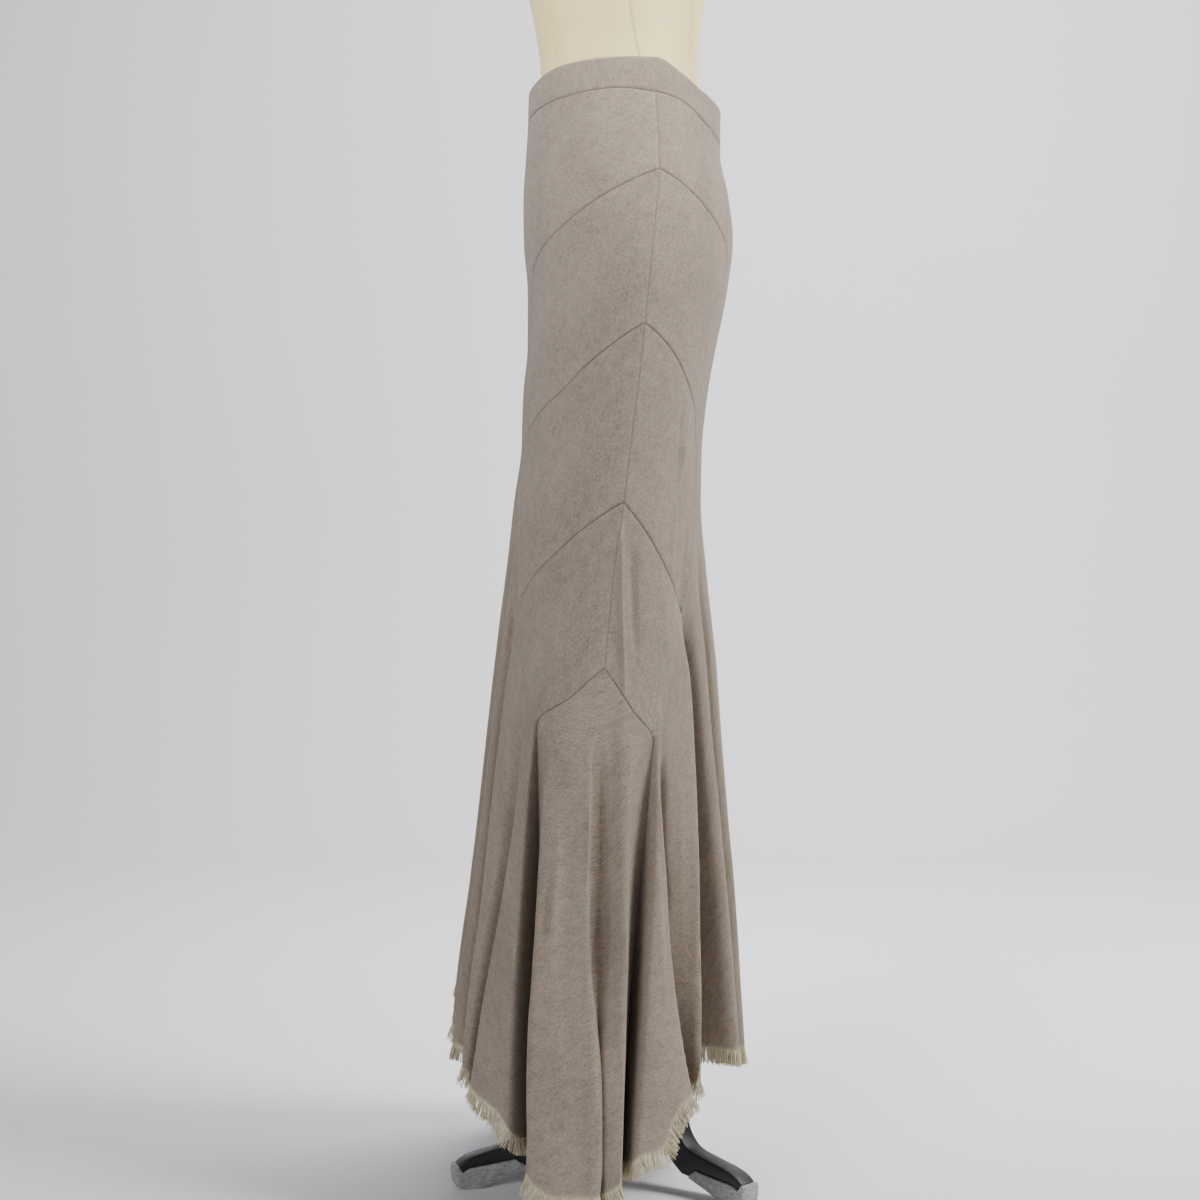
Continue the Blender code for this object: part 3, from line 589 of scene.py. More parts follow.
def add_object(name, mesh, finish, sharp=None):
    """A smooth object in one finish; edges that turn more than sharp degrees stay crisp."""
    mesh.materials.clear()
    mesh.materials.append(finish)
    mesh.shade_smooth()
    if sharp is not None:
        mesh.set_sharp_from_angle(angle=math.radians(sharp))
    made = bpy.data.objects.new(name, mesh)
    bpy.context.scene.collection.objects.link(made)
    return made


def finished(piece, slot, *nodes):
    """The piece rides on the only body and stands for its solids."""
    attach(piece, "root")
    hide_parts(*nodes)
    return piece


def face_outwards(mesh, same_point=None, more_work=None):
    """Turns a mesh's faces outwards, once points that lie together are one, and does more work on it."""
    shape = bmesh.new()
    shape.from_mesh(mesh)
    if same_point:
        bmesh.ops.remove_doubles(shape, verts=shape.verts, dist=same_point)
    bmesh.ops.recalc_face_normals(shape, faces=shape.faces)
    if more_work:
        more_work(shape)
    shape.to_mesh(mesh)
    shape.free()


def paint_points(mesh, title, values):
    """Gives each point of a mesh a value that its material can read."""
    attribute = mesh.attributes.new(title, "FLOAT", "POINT")
    attribute.data.foreach_set("value", values.reshape(-1).astype(np.float32))


# Shifts that give each cloth a stretch of the weave of its own
WEAVE_STEP = np.array((0.41, 0.23))  # from one half of a piece to the next
NAME_STEP = 0.137  # for each letter of its name


def quads(near, far):
    """The faces between two lines, or two shifted grids, of point numbers."""
    return np.stack((near[:-1], near[1:], far[1:], far[:-1]), -1).reshape(-1, 4)


def cloth_shell(name, grids, finish, thickness, closed_ring=False):
    """A wall of cloth: the grids' outer faces, inner faces one thickness in, and the rims between."""
    points, faces, thread, line, fray = [], [], [], [], []
    count = 0
    for number, grid in enumerate(grids):
        rows, columns = grid.angle.shape
        outer = count + np.arange(rows * columns).reshape(rows, columns)
        inner = outer + rows * columns
        count += 2 * rows * columns
        wall = (grid.points - grid.normals * thickness).reshape(-1, 3)
        points += [grid.points.reshape(-1, 3), wall]
        shift = WEAVE_STEP * number + NAME_STEP * len(name)
        thread += [(grid.thread + shift).reshape(-1, 2)] * 2
        line += [grid.line.reshape(-1)] * 2
        fray += [grid.fray.reshape(-1)] * 2
        front = quads(outer[:, :-1], outer[:, 1:])
        a, b, c = (grid.points.reshape(-1, 3)[front[:, i] - outer[0, 0]] for i in range(3))
        facing = np.cross(b - a, c - a)
        if np.sum(facing * grid.normals.reshape(-1, 3)[front[:, 0] - outer[0, 0]]) < 0:
            front = front[:, ::-1]
        back = (front + rows * columns)[:, ::-1]
        rims = [quads(outer[0], inner[0]), quads(outer[-1], inner[-1])]
        if not closed_ring:
            rims.append(quads(outer[:, 0], inner[:, 0]))
            rim = quads(outer[:, -1], inner[:, -1])
            rims.append(rim[grid.open_edge[:-1]])
        faces += [front, back, *rims]
    points, thread = np.concatenate(points), np.concatenate(thread)
    points[:, 1] += AXIS_Y
    faces = np.concatenate(faces)
    mesh = bpy.data.meshes.new(name)
    mesh.from_pydata(points, [], faces)
    threads = mesh.uv_layers.new(name="threads")
    threads.uv.foreach_set("vector", thread[faces.reshape(-1)].reshape(-1).astype(np.float32))
    # How strongly painted shade along the seams darkens each point.
    paint_points(mesh, "seam_shade", np.concatenate(line))
    paint_points(mesh, "fray", np.concatenate(fray))
    face_outwards(mesh, SAME_POINT)
    return add_object(name, mesh, finish, sharp=60)


# ---- Materials ----


NOISE_RANGE = (0.3, 0.7)  # a noise seldom goes past these


class Tree:
    """Adds nodes to a node tree, with their settings and what feeds their sockets."""

    def __init__(self, tree):
        self.tree = tree

    def add(self, kind, inputs=None, **settings):
        made = self.tree.nodes.new(kind)
        for key, value in settings.items():
            setattr(made, key, value)
        for key, value in (inputs or {}).items():
            self.feed(made.inputs[key], value)
        return made

    def feed(self, socket, value):
        if isinstance(value, bpy.types.NodeSocket):
            self.tree.links.new(value, socket)
        else:
            socket.default_value = value

    def first(self, kind, inputs=None, **settings):
        """The first output of a node that is added."""
        return self.add(kind, inputs, **settings).outputs[0]

    def math(self, operation, *values):
        return self.first("ShaderNodeMath", dict(enumerate(values)), operation=operation)

    def noise(self, vector, scale, detail=2.0, roughness=0.5):
        """A noise whose cells have their own size each way: scale is the cells per metre."""
        sized = self.first("ShaderNodeVectorMath", {0: vector, 1: scale}, operation="MULTIPLY")
        inputs = {"Vector": sized, "Scale": 1.0, "Detail": detail, "Roughness": roughness}
        return self.add("ShaderNodeTexNoise", inputs).outputs["Fac"]

    def mix(self, factor, first, second, blend="MIX"):
        inputs = {0: factor, 6: first, 7: second}
        return self.add("ShaderNodeMix", inputs, data_type="RGBA", blend_type=blend).outputs[2]

    def spread(self, value, low, high, to_low=0.0, to_high=1.0):
        """A value's range from low to high, spread over another and cut off at its ends."""
        inputs = {"Value": value, "From Min": low, "From Max": high, "To Min": to_low, "To Max": to_high}
        return self.first("ShaderNodeMapRange", inputs)

    def surface(self, shader, tone, wear, at_low, at_high):
        """Feeds the colour, and a roughness that follows a noise from its low to its high places."""
        self.feed(shader.inputs["Base Color"], tone)
        self.feed(shader.inputs["Roughness"], self.spread(wear, *NOISE_RANGE, at_low, at_high))

    def bump(self, shader, height, strength, distance):
        inputs = {"Strength": strength, "Distance": distance, "Height": height}
        self.feed(shader.inputs["Normal"], self.first("ShaderNodeBump", inputs))

    def place(self):
        return self.add("ShaderNodeTexCoord").outputs["Object"]

    def painted(self, title):
        """A value that is given to each point of the mesh."""
        return self.add("ShaderNodeAttribute", attribute_name=title).outputs["Fac"]


def colour(red, green, blue):
    return (red, green, blue, 1.0)


def new_material(name, levels=None):
    """A material with its tree, and its shader with some of its sockets at levels of their own."""
    made = bpy.data.materials.new(name)
    made.use_nodes = True
    shader = made.node_tree.nodes["Principled BSDF"]
    for title, level in (levels or {}).items():
        shader.inputs[title].default_value = level
    return made, Tree(made.node_tree), shader


def new_group(name, inputs, outputs):
    """An empty shader node group with named sockets: {name: kind}."""
    group = bpy.data.node_groups.new(name, "ShaderNodeTree")
    for title, kind in inputs.items():
        group.interface.new_socket(title, in_out="INPUT", socket_type=kind)
    for title, kind in outputs.items():
        group.interface.new_socket(title, in_out="OUTPUT", socket_type=kind)
    tree = Tree(group)
    return group, tree, tree.add("NodeGroupInput"), tree.add("NodeGroupOutput")


# The noises that make up the linen's tone.
# cells a metre across and along, detail, roughness, share of the tone
LINEN_TONES = {
    "slubs": ((760, 260, 1), 3.0, 0.6, 0.22),
    "cross": ((170, 700, 1), 3.0, 0.6, 0.24),
    "grain": ((1050, 1050, 1), 2.0, 0.7, 0.30),
    "patch": ((75, 110, 1), 3.0, 0.6, 0.14),
    "cloud": ((16, 12, 1), 2.0, 0.5, 0.10),
}
TINT_CELLS = (120, 150, 1)
WEAVE_PITCH = 0.0009  # from one crest of the weave to the next
WEAVE_SHARE, GRAIN_SHARE = 0.25, 0.7  # heights of the weave and the grain beside the slubs' own


def slub_weave():
    """Linen's uneven threads: Tone and Tint change from thread to thread, Height is the weave."""
    inputs = {"Threads": "NodeSocketVector"}
    outputs = {"Tone": "NodeSocketFloat", "Tint": "NodeSocketFloat", "Height": "NodeSocketFloat"}
    group, tree, entry, leave = new_group("slub_weave", inputs, outputs)
    threads = entry.outputs["Threads"]
    tone, made = 0.0, {}
    for part, (cells, detail, roughness, share) in LINEN_TONES.items():
        made[part] = tree.noise(threads, cells, detail, roughness)
        tone = tree.math("MULTIPLY_ADD", made[part], share, tone)
    tree.feed(leave.inputs["Tone"], tone)
    tree.feed(leave.inputs["Tint"], tree.noise(threads, TINT_CELLS, 3.0, 0.65))
    across, along, _ = tree.add("ShaderNodeSeparateXYZ", {0: threads}).outputs
    turns = 2 * math.pi / WEAVE_PITCH
    weft, warp = (tree.math("SINE", tree.math("MULTIPLY", way, turns)) for way in (across, along))
    height = tree.math("MULTIPLY_ADD", tree.math("MULTIPLY", weft, warp), WEAVE_SHARE, made["slubs"])
    tree.feed(leave.inputs["Height"], tree.math("MULTIPLY_ADD", made["grain"], GRAIN_SHARE, height))
    return group


def linen_material(weave):
    """Natural linen in two tones and tints, with painted shade along its seams' grooves, and paler where it
    frays.
    """
    levels = {"Sheen Weight": 0.12, "Sheen Roughness": 0.5, "Specular IOR Level": 0.2}
    made, tree, shader = new_material("linen", levels)
    threads = tree.first("ShaderNodeUVMap", uv_map="threads")
    woven = tree.add("ShaderNodeGroup", {"Threads": threads}, node_tree=weave)
    tone = tree.spread(woven.outputs["Tone"], 0.385, 0.615)
    plain = tree.mix(tone, colour(0.152, 0.123, 0.098), colour(0.368, 0.318, 0.268))
    tint = tree.spread(woven.outputs["Tint"], 0.36, 0.64)
    tints = tree.mix(tint, colour(1.10, 0.955, 0.94), colour(0.94, 1.025, 0.95))
    tinted = tree.mix(1.0, plain, tints, "MULTIPLY")
    # Painted shade in the seams' grooves: dark brown laid over the cloth.
    line = tree.math("MULTIPLY", tree.painted("seam_shade"), 0.58)
    seamed = tree.mix(line, tinted, colour(0.055, 0.040, 0.030))
    fray = tree.math("MULTIPLY", tree.painted("fray"), 0.55)
    frayed = tree.mix(fray, seamed, colour(0.50, 0.44, 0.33))
    tree.surface(shader, frayed, woven.outputs["Tone"], 0.97, 0.86)
    tree.bump(shader, woven.outputs["Height"], 0.6, 0.0006)
    return made


def thread_material():
    """Loose linen threads of the fringe, paler than the cloth."""
    made, tree, shader = new_material("fringe_thread", {"Specular IOR Level": 0.2})
    strand = tree.noise(tree.place(), (900, 900, 60), 2.0)
    tone = tree.mix(tree.spread(strand, 0.35, 0.65), colour(0.46, 0.40, 0.27), colour(0.74, 0.68, 0.50))
    tree.surface(shader, tone, strand, 0.98, 0.85)
    return made


def cover_material():
    """The dress form's jersey cover: a fine knit over padding, a little worn, with painted shade along its
    seams.
    """
    made, tree, shader = new_material("form_cover", {"Sheen Weight": 0.1})
    place = tree.place()
    knit = tree.noise(place, (900, 900, 1400), 1.0)
    cloud = tree.noise(place, (9, 9, 6), 3.0)
    tone = tree.spread(tree.math("MULTIPLY_ADD", knit, 0.35, cloud), 0.5, 0.85)
    plain = tree.mix(tone, colour(0.850, 0.675, 0.300), colour(0.965, 0.810, 0.400))
    # Painted shade in the cover's sunk seams.
    line = tree.math("MULTIPLY", tree.painted("seam_shade"), 0.45)
    seam_shaded = tree.mix(line, plain, colour(0.46, 0.38, 0.25))
    tree.surface(shader, seam_shaded, cloud, 0.80, 0.66)
    tree.bump(shader, knit, 0.25, 0.0004)
    return made


def paint_material():
    """Black paint, rubbed a little paler in spots and along its grain."""
    made, tree, shader = new_material("stand_paint")
    place = tree.place()
    scuffs = tree.noise(place, (70, 70, 40), 5.0, 0.65)
    dust = tree.noise(place, (14, 14, 9), 3.0)
    worn = tree.spread(scuffs, 0.60, 0.78)
    dusty = tree.spread(dust, 0.35, 0.7)
    plain = tree.mix(dusty, colour(0.0050, 0.0055, 0.0060), colour(0.0120, 0.0120, 0.0120))
    tone = tree.mix(worn, plain, colour(0.060, 0.056, 0.052))
    tree.surface(shader, tone, scuffs, 0.34, 0.55)
    tree.bump(shader, scuffs, 0.2, 0.0004)
    return made


def tape_material():
    """Grey tape, wrinkled and a little shiny."""
    made, tree, shader = new_material("tape")
    place = tree.place()
    wrinkles = tree.noise(place, (160, 160, 420), 4.0, 0.6)
    fibres = tree.noise(place, (900, 900, 900), 1.0)
    worn = tree.spread(tree.math("MULTIPLY_ADD", fibres, 0.3, wrinkles), 0.5, 0.8)
    tone = tree.mix(worn, colour(0.20, 0.21, 0.205), colour(0.36, 0.375, 0.36))
    tree.surface(shader, tone, wrinkles, 0.36, 0.58)
    tree.bump(shader, wrinkles, 0.6, 0.001)
    return made


# ---- The skirt ----


def on_the_bias(thread, turn):
    """Thread places with the weave turned against the strip's length."""
    across, along = thread[..., 0], thread[..., 1]
    return np.stack((
        across * math.cos(turn) - along * math.sin(turn),
        across * math.sin(turn) + along * math.cos(turn),
    ), -1)


def strip_grids():
    """A grid for every strip on the wearer's left, and for its mirror image on the right, both hung."""
    grids = {}
    for end, where in ((0, "front"), (180, "back")):
        centre = partial(waist_places, end)
        grid = strip_grid(partial(seam_places, f"{where}_1"), centre, PANEL_FOLD, centre_below=True)
        # The panel is one cloth across the centre, so its threads run straight up and down.
        upright = (grid.angle - end) * ARC
        grid.thread = np.stack((upright, grid.z), -1)
        grids[f"{where}_panel"] = grid
        for tier, fold in TIER_FOLDS[where].items():
            upper, lower = (partial(seam_places, f"{where}_{n}") for n in (tier - 1, tier))
            grids[f"{where}_tier_{tier}"] = strip_grid(upper, lower, fold)
    upper, lower = (partial(seam_places, f"{where}_4") for where in ("front", "back"))
    grids["side_godet"] = strip_grid(upper, lower, GODET_FOLD)
    grids["side_godet"].from_side += 1.0  # no side seam runs down this one
    pairs = {name: (grid, grid.mirror()) for name, grid in grids.items()}
    for name, pair in pairs.items():
        for side, grid in zip((1, -1), pair):
            hang(grid)
            if "panel" not in name:
                grid.thread = on_the_bias(grid.thread, side * BIAS)
    return pairs


def make_skirt(pairs, finish):
    """The waistband, panels, tiers and godets, each cloth a wall of its own."""
    band_grids = [waistband_grid()]
    band = cloth_shell("waistband_cloth", band_grids, finish, BAND, closed_ring=True)
    sheets = {"waistband": (finished(band, "linen", "waistband"), band_grids)}
    for name, pair in pairs.items():
        if "panel" in name:
            piece = cloth_shell(f"{name}_cloth", pair, finish, CLOTH)
            sheets[name] = (finished(piece, "linen", name), pair)
            continue
        for side, grid in zip(("left", "right"), pair):
            node = f"{name}_{side}"
            piece = cloth_shell(f"{node}_cloth", [grid], finish, CLOTH)
            sheets[node] = (finished(piece, "linen", node), [grid])
    return sheets


def cloth_area(grid):
    """The area of a grid's cloth."""
    a = grid.points[1:, 1:] - grid.points[:-1, :-1]
    b = grid.points[1:, :-1] - grid.points[:-1, 1:]
    return float(np.linalg.norm(np.cross(a, b), axis=-1).sum() / 2)


CREST_ROW = 3  # the waistband's row at its highest place, where it lies level
BAND_TURNINGS = 0.005  # what its depth loses in its two turned edges
CUT_ROOM = 1.02  # a cut is at least this much larger than its cloth
MOST_OF_A_CUT = 0.999  # the cloth is never more than this share of its cut


def declare_sheets(sheets):
    """Works out how large each cloth was cut, its greatest width and its length down the middle, and its
    area; nothing is kept or returned.
    """
    for name, (piece, grids) in sheets.items():
        area = sum(cloth_area(grid) for grid in grids)
        if name == "waistband":
            _, seam, top = WAISTBAND[CREST_ROW]
            size = (top - seam + BAND_TURNINGS, float(lengths(grids[0].points, 1)[0, -1]))
        else:
            across = max(float(lengths(grid.points, 1).max()) for grid in grids) * len(grids)
            middle = grids[0].points.shape[1] // 2
            size = (across, float(lengths(grids[0].points, 0)[-1, middle]))
        scale = max(1.0, CUT_ROOM * area / (size[0] * size[1]))
        flat = (round(size[0], 3), round(size[1] * scale, 3))
        area = round(min(area, MOST_OF_A_CUT * flat[0] * flat[1]), 4)


# ---- The fringe ----

FRINGE_LENGTH = 0.0180
LENGTH_SHARES = (0.86, 1.02)  # the shortest and the longest thread
THREAD_PITCH = 0.00042  # between threads along the hem
THREAD_RADIUS = 0.00044
THREAD_POINTS = 6
THREAD_SIDES = 3
THREAD_TAPER = 0.3  # share of its radius that a thread loses by its tip
THREAD_OVERLAP = 0.0015  # how far a thread starts above the hem
SQUARE_SHARE = 0.8  # how far the threads turn from the run of the cloth to square with its edge
HEM_ROWS = 7  # rows of cloth that give its run at the hem
LEAN = 0.07  # how far a thread leans at random, as a share of its length
SPLAY = (-0.12, 0.16)  # how far it stands in or out from the cloth, as a share of its length
WANDER = 0.0014  # how far its tip can stray in each direction
WANDER_GROWTH = 1.3  # a thread strays evenly at 1, and more towards its tip above that
SWIRLS = 150.0  # bends of neighbouring threads, for each metre
FROM_CENTRED = 2.2  # brings a noise of half a unit each way up to a unit


def fringe_tree():
    """Threads along a line of hem, each a thin tapered tube that wanders more towards its tip."""
    tree = bpy.data.node_groups.new("hem_fringe", "GeometryNodeTree")
    sizes = {
        "Thread Pitch": THREAD_PITCH,
        "Thread Length": FRINGE_LENGTH,
        "Thread Radius": THREAD_RADIUS,
        "Wander": WANDER,
    }
    face = tree.interface
    face.new_socket("Geometry", in_out="INPUT", socket_type="NodeSocketGeometry")
    for title, value in sizes.items():
        face.new_socket(title, in_out="INPUT", socket_type="NodeSocketFloat").default_value = value
    face.new_socket("Finish", in_out="INPUT", socket_type="NodeSocketMaterial")
    face.new_socket("Geometry", in_out="OUTPUT", socket_type="NodeSocketGeometry")
    make = Tree(tree)
    entry, leave = make.add("NodeGroupInput"), make.add("NodeGroupOutput")
    given = entry.outputs

    def named(title, kind="FLOAT_VECTOR"):
        return make.first("GeometryNodeInputNamedAttribute", {"Name": title}, data_type=kind)

    def random(low, high, seed):
        inputs = {2: low, 3: high, "Seed": seed}
        return make.add("FunctionNodeRandomValue", inputs, data_type="FLOAT").outputs[1]

    def random_way(size, seed):
        inputs = {0: (-size, -size, -size), 1: (size, size, size), "Seed": seed}
        return make.first("FunctionNodeRandomValue", inputs, data_type="FLOAT_VECTOR")

    def vector(operation, first, second):
        return make.first("ShaderNodeVectorMath", {0: first, 1: second}, operation=operation)

    def scaled(first, scale):
        return make.first("ShaderNodeVectorMath", {0: first, "Scale": scale}, operation="SCALE")

    line = make.first("GeometryNodeMeshToCurve", {"Mesh": given["Geometry"]})
    pitch = {"Curve": line, "Length": given["Thread Pitch"]}
    even = make.first("GeometryNodeResampleCurve", pitch, mode="LENGTH")
    roots = make.first("GeometryNodeCurveToPoints", {"Curve": even}, mode="EVALUATED")
    strand = make.first("GeometryNodeCurvePrimitiveLine", {"End": (0, 0, 1)})
    bent = make.first("GeometryNodeResampleCurve", {"Curve": strand, "Count": THREAD_POINTS})
    share = make.add("GeometryNodeSplineParameter").outputs["Factor"]
    inputs = {"Geometry": bent, "Name": "share", "Value": share}
    kept = make.first("GeometryNodeStoreNamedAttribute", inputs, data_type="FLOAT")
    lean = vector("ADD", named("down"), random_way(LEAN, 3))
    way = vector("ADD", lean, scaled(named("out"), random(*SPLAY, 5)))
    turned = make.first("FunctionNodeAlignRotationToVector", {"Vector": way}, axis="Z")
    length = make.math("MULTIPLY", given["Thread Length"], random(*LENGTH_SHARES, 8))
    size = make.first("ShaderNodeCombineXYZ", {0: length, 1: length, 2: length})
    inputs = {"Points": roots, "Instance": kept, "Rotation": turned, "Scale": size}
    placed = make.first("GeometryNodeInstanceOnPoints", inputs)
    loose = make.first("GeometryNodeRealizeInstances", {"Geometry": placed})
    place = scaled(make.first("GeometryNodeInputPosition"), SWIRLS)
    swirl = make.add("ShaderNodeTexNoise", {"Vector": place, "Scale": 1.0, "Detail": 2.0}).outputs["Color"]
    centred = vector("SUBTRACT", swirl, (0.5, 0.5, 0.5))
    tip = named("share", "FLOAT")
    amount = make.math("MULTIPLY", make.math("POWER", tip, WANDER_GROWTH), given["Wander"])
    offset = scaled(centred, make.math("MULTIPLY", amount, FROM_CENTRED))
    wandered = make.first("GeometryNodeSetPosition", {"Geometry": loose, "Offset": offset})
    taper = make.math("SUBTRACT", 1.0, make.math("MULTIPLY", tip, THREAD_TAPER))
    radius = make.math("MULTIPLY", taper, given["Thread Radius"])
    ring = make.first("GeometryNodeCurvePrimitiveCircle", {"Resolution": THREAD_SIDES, "Radius": 1.0})
    inputs = {"Curve": wandered, "Profile Curve": ring, "Scale": radius, "Fill Caps": True}
    tubes = make.first("GeometryNodeCurveToMesh", inputs)
    real = make.first("GeometryNodeRealizeInstances", {"Geometry": tubes})
    done = make.first("GeometryNodeSetMaterial", {"Geometry": real, "Material": given["Finish"]})
    make.feed(leave.inputs["Geometry"], done)
    return tree


def hem_mesh(name, grids):
    """Lines of points along the hem of some cloths, with a thread's way down and the way out at each."""
    points, edges, down, out = [], [], [], []
    for grid in grids:
        start = len(points)
        edge, above = grid.points[-1], grid.points[-1 - HEM_ROWS]
        along = np.gradient(edge, axis=0)
        along = along / np.linalg.norm(along, axis=-1, keepdims=True)
        way = edge - above
        way = way - along * np.sum(way * along, axis=-1, keepdims=True) * SQUARE_SHARE
        way = way / np.linalg.norm(way, axis=-1, keepdims=True)
        normals = grid.normals[-1]
        root = edge - way * THREAD_OVERLAP - normals * CLOTH / 2
        points += list(root)
        down += list(way)
        out += list(normals)
        edges += [(start + k, start + k + 1) for k in range(len(edge) - 1)]
    mesh = bpy.data.meshes.new(name)
    mesh.from_pydata(np.array(points) + (0, AXIS_Y, 0), edges, [])
    for title, values in (("down", down), ("out", out)):
        attribute = mesh.attributes.new(title, "FLOAT_VECTOR", "POINT")
        attribute.data.foreach_set("vector", np.array(values, np.float32).reshape(-1))
    return mesh


def socket_identifier(tree, title):
    """The name that a modifier knows a tree's input by."""
    for item in tree.interface.items_tree:
        if item.name == title and item.in_out == "INPUT":
            return item.identifier
    raise KeyError(title)


def grow(name, mesh, tree, finish):
    """The geometry that a tree grows on a mesh, as a plain mesh."""
    carrier = bpy.data.objects.new(f"{name}_line", mesh)
    bpy.context.scene.collection.objects.link(carrier)
    modifier = carrier.modifiers.new("grow", "NODES")
    modifier.node_group = tree
    modifier[socket_identifier(tree, "Finish")] = finish
    bpy.context.view_layer.update()
    grown = carrier.evaluated_get(bpy.context.evaluated_depsgraph_get())
    result = bpy.data.meshes.new_from_object(grown)
    result.name = name
    carrier.modifiers.clear()
    bpy.data.objects.remove(carrier, do_unlink=True)
    return result


def make_fringes(pairs, finish):
    """The fringe in four stretches, each on its own backing node."""
    tree = fringe_tree()
    front = ("front_panel", "front_tier_2", "front_tier_3")
    side = ("front_tier_4", "side_godet", "back_tier_4")
    back = ("back_panel", "back_tier_2", "back_tier_3")
    stretches = {
        "front": [grid for name in front for grid in pairs[name]],
        "left": [pairs[name][0] for name in side],
        "right": [pairs[name][1] for name in side],
        "back": [grid for name in back for grid in pairs[name]],
    }
    fringes = {}
    for where, grids in stretches.items():
        name = f"fringe_{where}_threads"
        mesh = grow(name, hem_mesh(name, grids), tree, finish)
        piece = add_object(name, mesh, finish)
        fringes[where] = finished(piece, "fringe_thread", f"fringe_{where}")
    return fringes


# ---- The dress form ----

# height, front, back, half width, y of the side
FORM_SECTIONS = (
    (0.770, 0.074, 0.070, 0.150, 0.012),
    (0.774, 0.082, 0.078, 0.159, 0.014),
    (0.825, 0.0865, 0.0890, 0.1685, 0.021),
    (0.880, 0.0880, 0.1022, 0.1725, 0.026),
    (0.930, 0.0928, 0.1065, 0.1688, 0.031),
    (0.970, 0.0915, 0.0995, 0.1573, 0.035),
    (1.012, 0.0850, 0.0900, 0.1420, 0.033),
    (1.055, 0.0800, 0.0800, 0.1230, 0.024),
    (1.100, 0.0790, 0.0770, 0.1180, 0.015),
    (1.140, 0.0840, 0.0800, 0.1240, 0.008),
    (1.180, 0.0920, 0.0860, 0.1350, 0.002),
    (1.230, 0.1080, 0.0920, 0.1480, 0.000),
    (1.275, 0.1180, 0.0960, 0.1550, 0.000),
    (1.320, 0.1080, 0.1000, 0.1600, 0.004),
    (1.370, 0.0850, 0.1020, 0.1720, 0.010),
    (1.410, 0.0660, 0.0960, 0.1780, 0.014),
    (1.440, 0.0520, 0.0860, 0.1600, 0.016),
    (1.462, 0.0430, 0.0770, 0.1200, 0.017),
    (1.480, 0.0390, 0.0700, 0.0840, 0.018),
    (1.500, 0.0400, 0.0660, 0.0640, 0.014),
    (1.530, 0.0460, 0.0620, 0.0560, 0.010),
    (1.560, 0.0500, 0.0600, 0.0540, 0.008),
    (1.572, 0.0440, 0.0540, 0.0480, 0.008),
)
FORM_SEAMS = (0, 34, 90, 146, 180)  # angles of the cover's seams: centres, shaped seams and sides
FORM_RING_PITCH = 0.006
FORM_TOP_RING = 0.002  # from the last ring but one to the top
FORM_COLUMNS = 101  # points round one half
FORM_SEAM_STEPS = (-0.9, -0.45, 0, 0.45, 0.9)  # closer points beside a seam, in degrees
FORM_ARC = 0.0022  # length of a degree round the form
FORM_SEAM_DEPTH, FORM_SEAM_WIDTH = 0.0008, 0.002
FORM_SEAM_SHADE = 0.0011  # half width of the painted shade along a seam
FORM_SHADE_END = 1.5  # half widths out at which it is gone


def make_form(finish):
    """The padded form with its cover's seams sunk in a little and painted shade along them."""
    low, high = FORM_SECTIONS[0][0], FORM_SECTIONS[-1][0]
    z = np.unique(np.append(np.arange(low, high, FORM_RING_PITCH), (high - FORM_TOP_RING, high)))[:, None]
    beside = np.concatenate([seam + np.array(FORM_SEAM_STEPS) for seam in FORM_SEAMS])
    angle = np.unique(np.clip(np.append(np.linspace(0, 180, FORM_COLUMNS), beside), 0, 180))[None, :]
    points = oval_points(FORM_SECTIONS, angle + 0 * z, z + 0 * angle)
    distance = np.min([np.abs(angle - seam) for seam in FORM_SEAMS], axis=0) * FORM_ARC
    sunk = FORM_SEAM_DEPTH * ramp(-distance, -FORM_SEAM_WIDTH, 0) * np.ones_like(z)
    way, length = way_inwards(points, FORM_SECTIONS, z)
    points += way / length[..., None] * sunk[..., None]
    ring = np.concatenate((points, points[:, -2:0:-1] * (-1, 1, 1)), 1)
    # How strongly painted shade darkens each point beside a seam.
    shaded_seams = np.clip(FORM_SHADE_END - distance / FORM_SEAM_SHADE, 0, 1) * np.ones_like(z)
    shaded_seams = np.concatenate((shaded_seams, shaded_seams[:, -2:0:-1]), 1)
    rows, columns = ring.shape[:2]
    index = np.arange(rows * columns).reshape(rows, columns)
    after = np.roll(index, -1, axis=1)
    faces = np.stack((index[:-1], after[:-1], after[1:], index[1:]), -1).reshape(-1, 4)
    mesh = bpy.data.meshes.new("form_cover_padded")
    flat = ring.reshape(-1, 3) + (0, AXIS_Y, 0)
    caps = [index[0][::-1].tolist(), index[-1].tolist()]
    mesh.from_pydata(flat, [], faces.tolist() + caps)
    paint_points(mesh, "seam_shade", shaded_seams)
    face_outwards(mesh)
    piece = add_object("form_cover_padded", mesh, finish, sharp=50)
    return finished(piece, "form_cover", "form_torso")


# ---- The stand ----

LEG_ANGLES = {"front": 16.0, "back_left": 136.0, "right": 256.0}
LEG_THICKNESS = 0.020
PAD_THICKNESS = 0.0232
LEG_EDGE, TAPE_EDGE = 0.0016, 0.0006  # radii that the edges are rubbed to
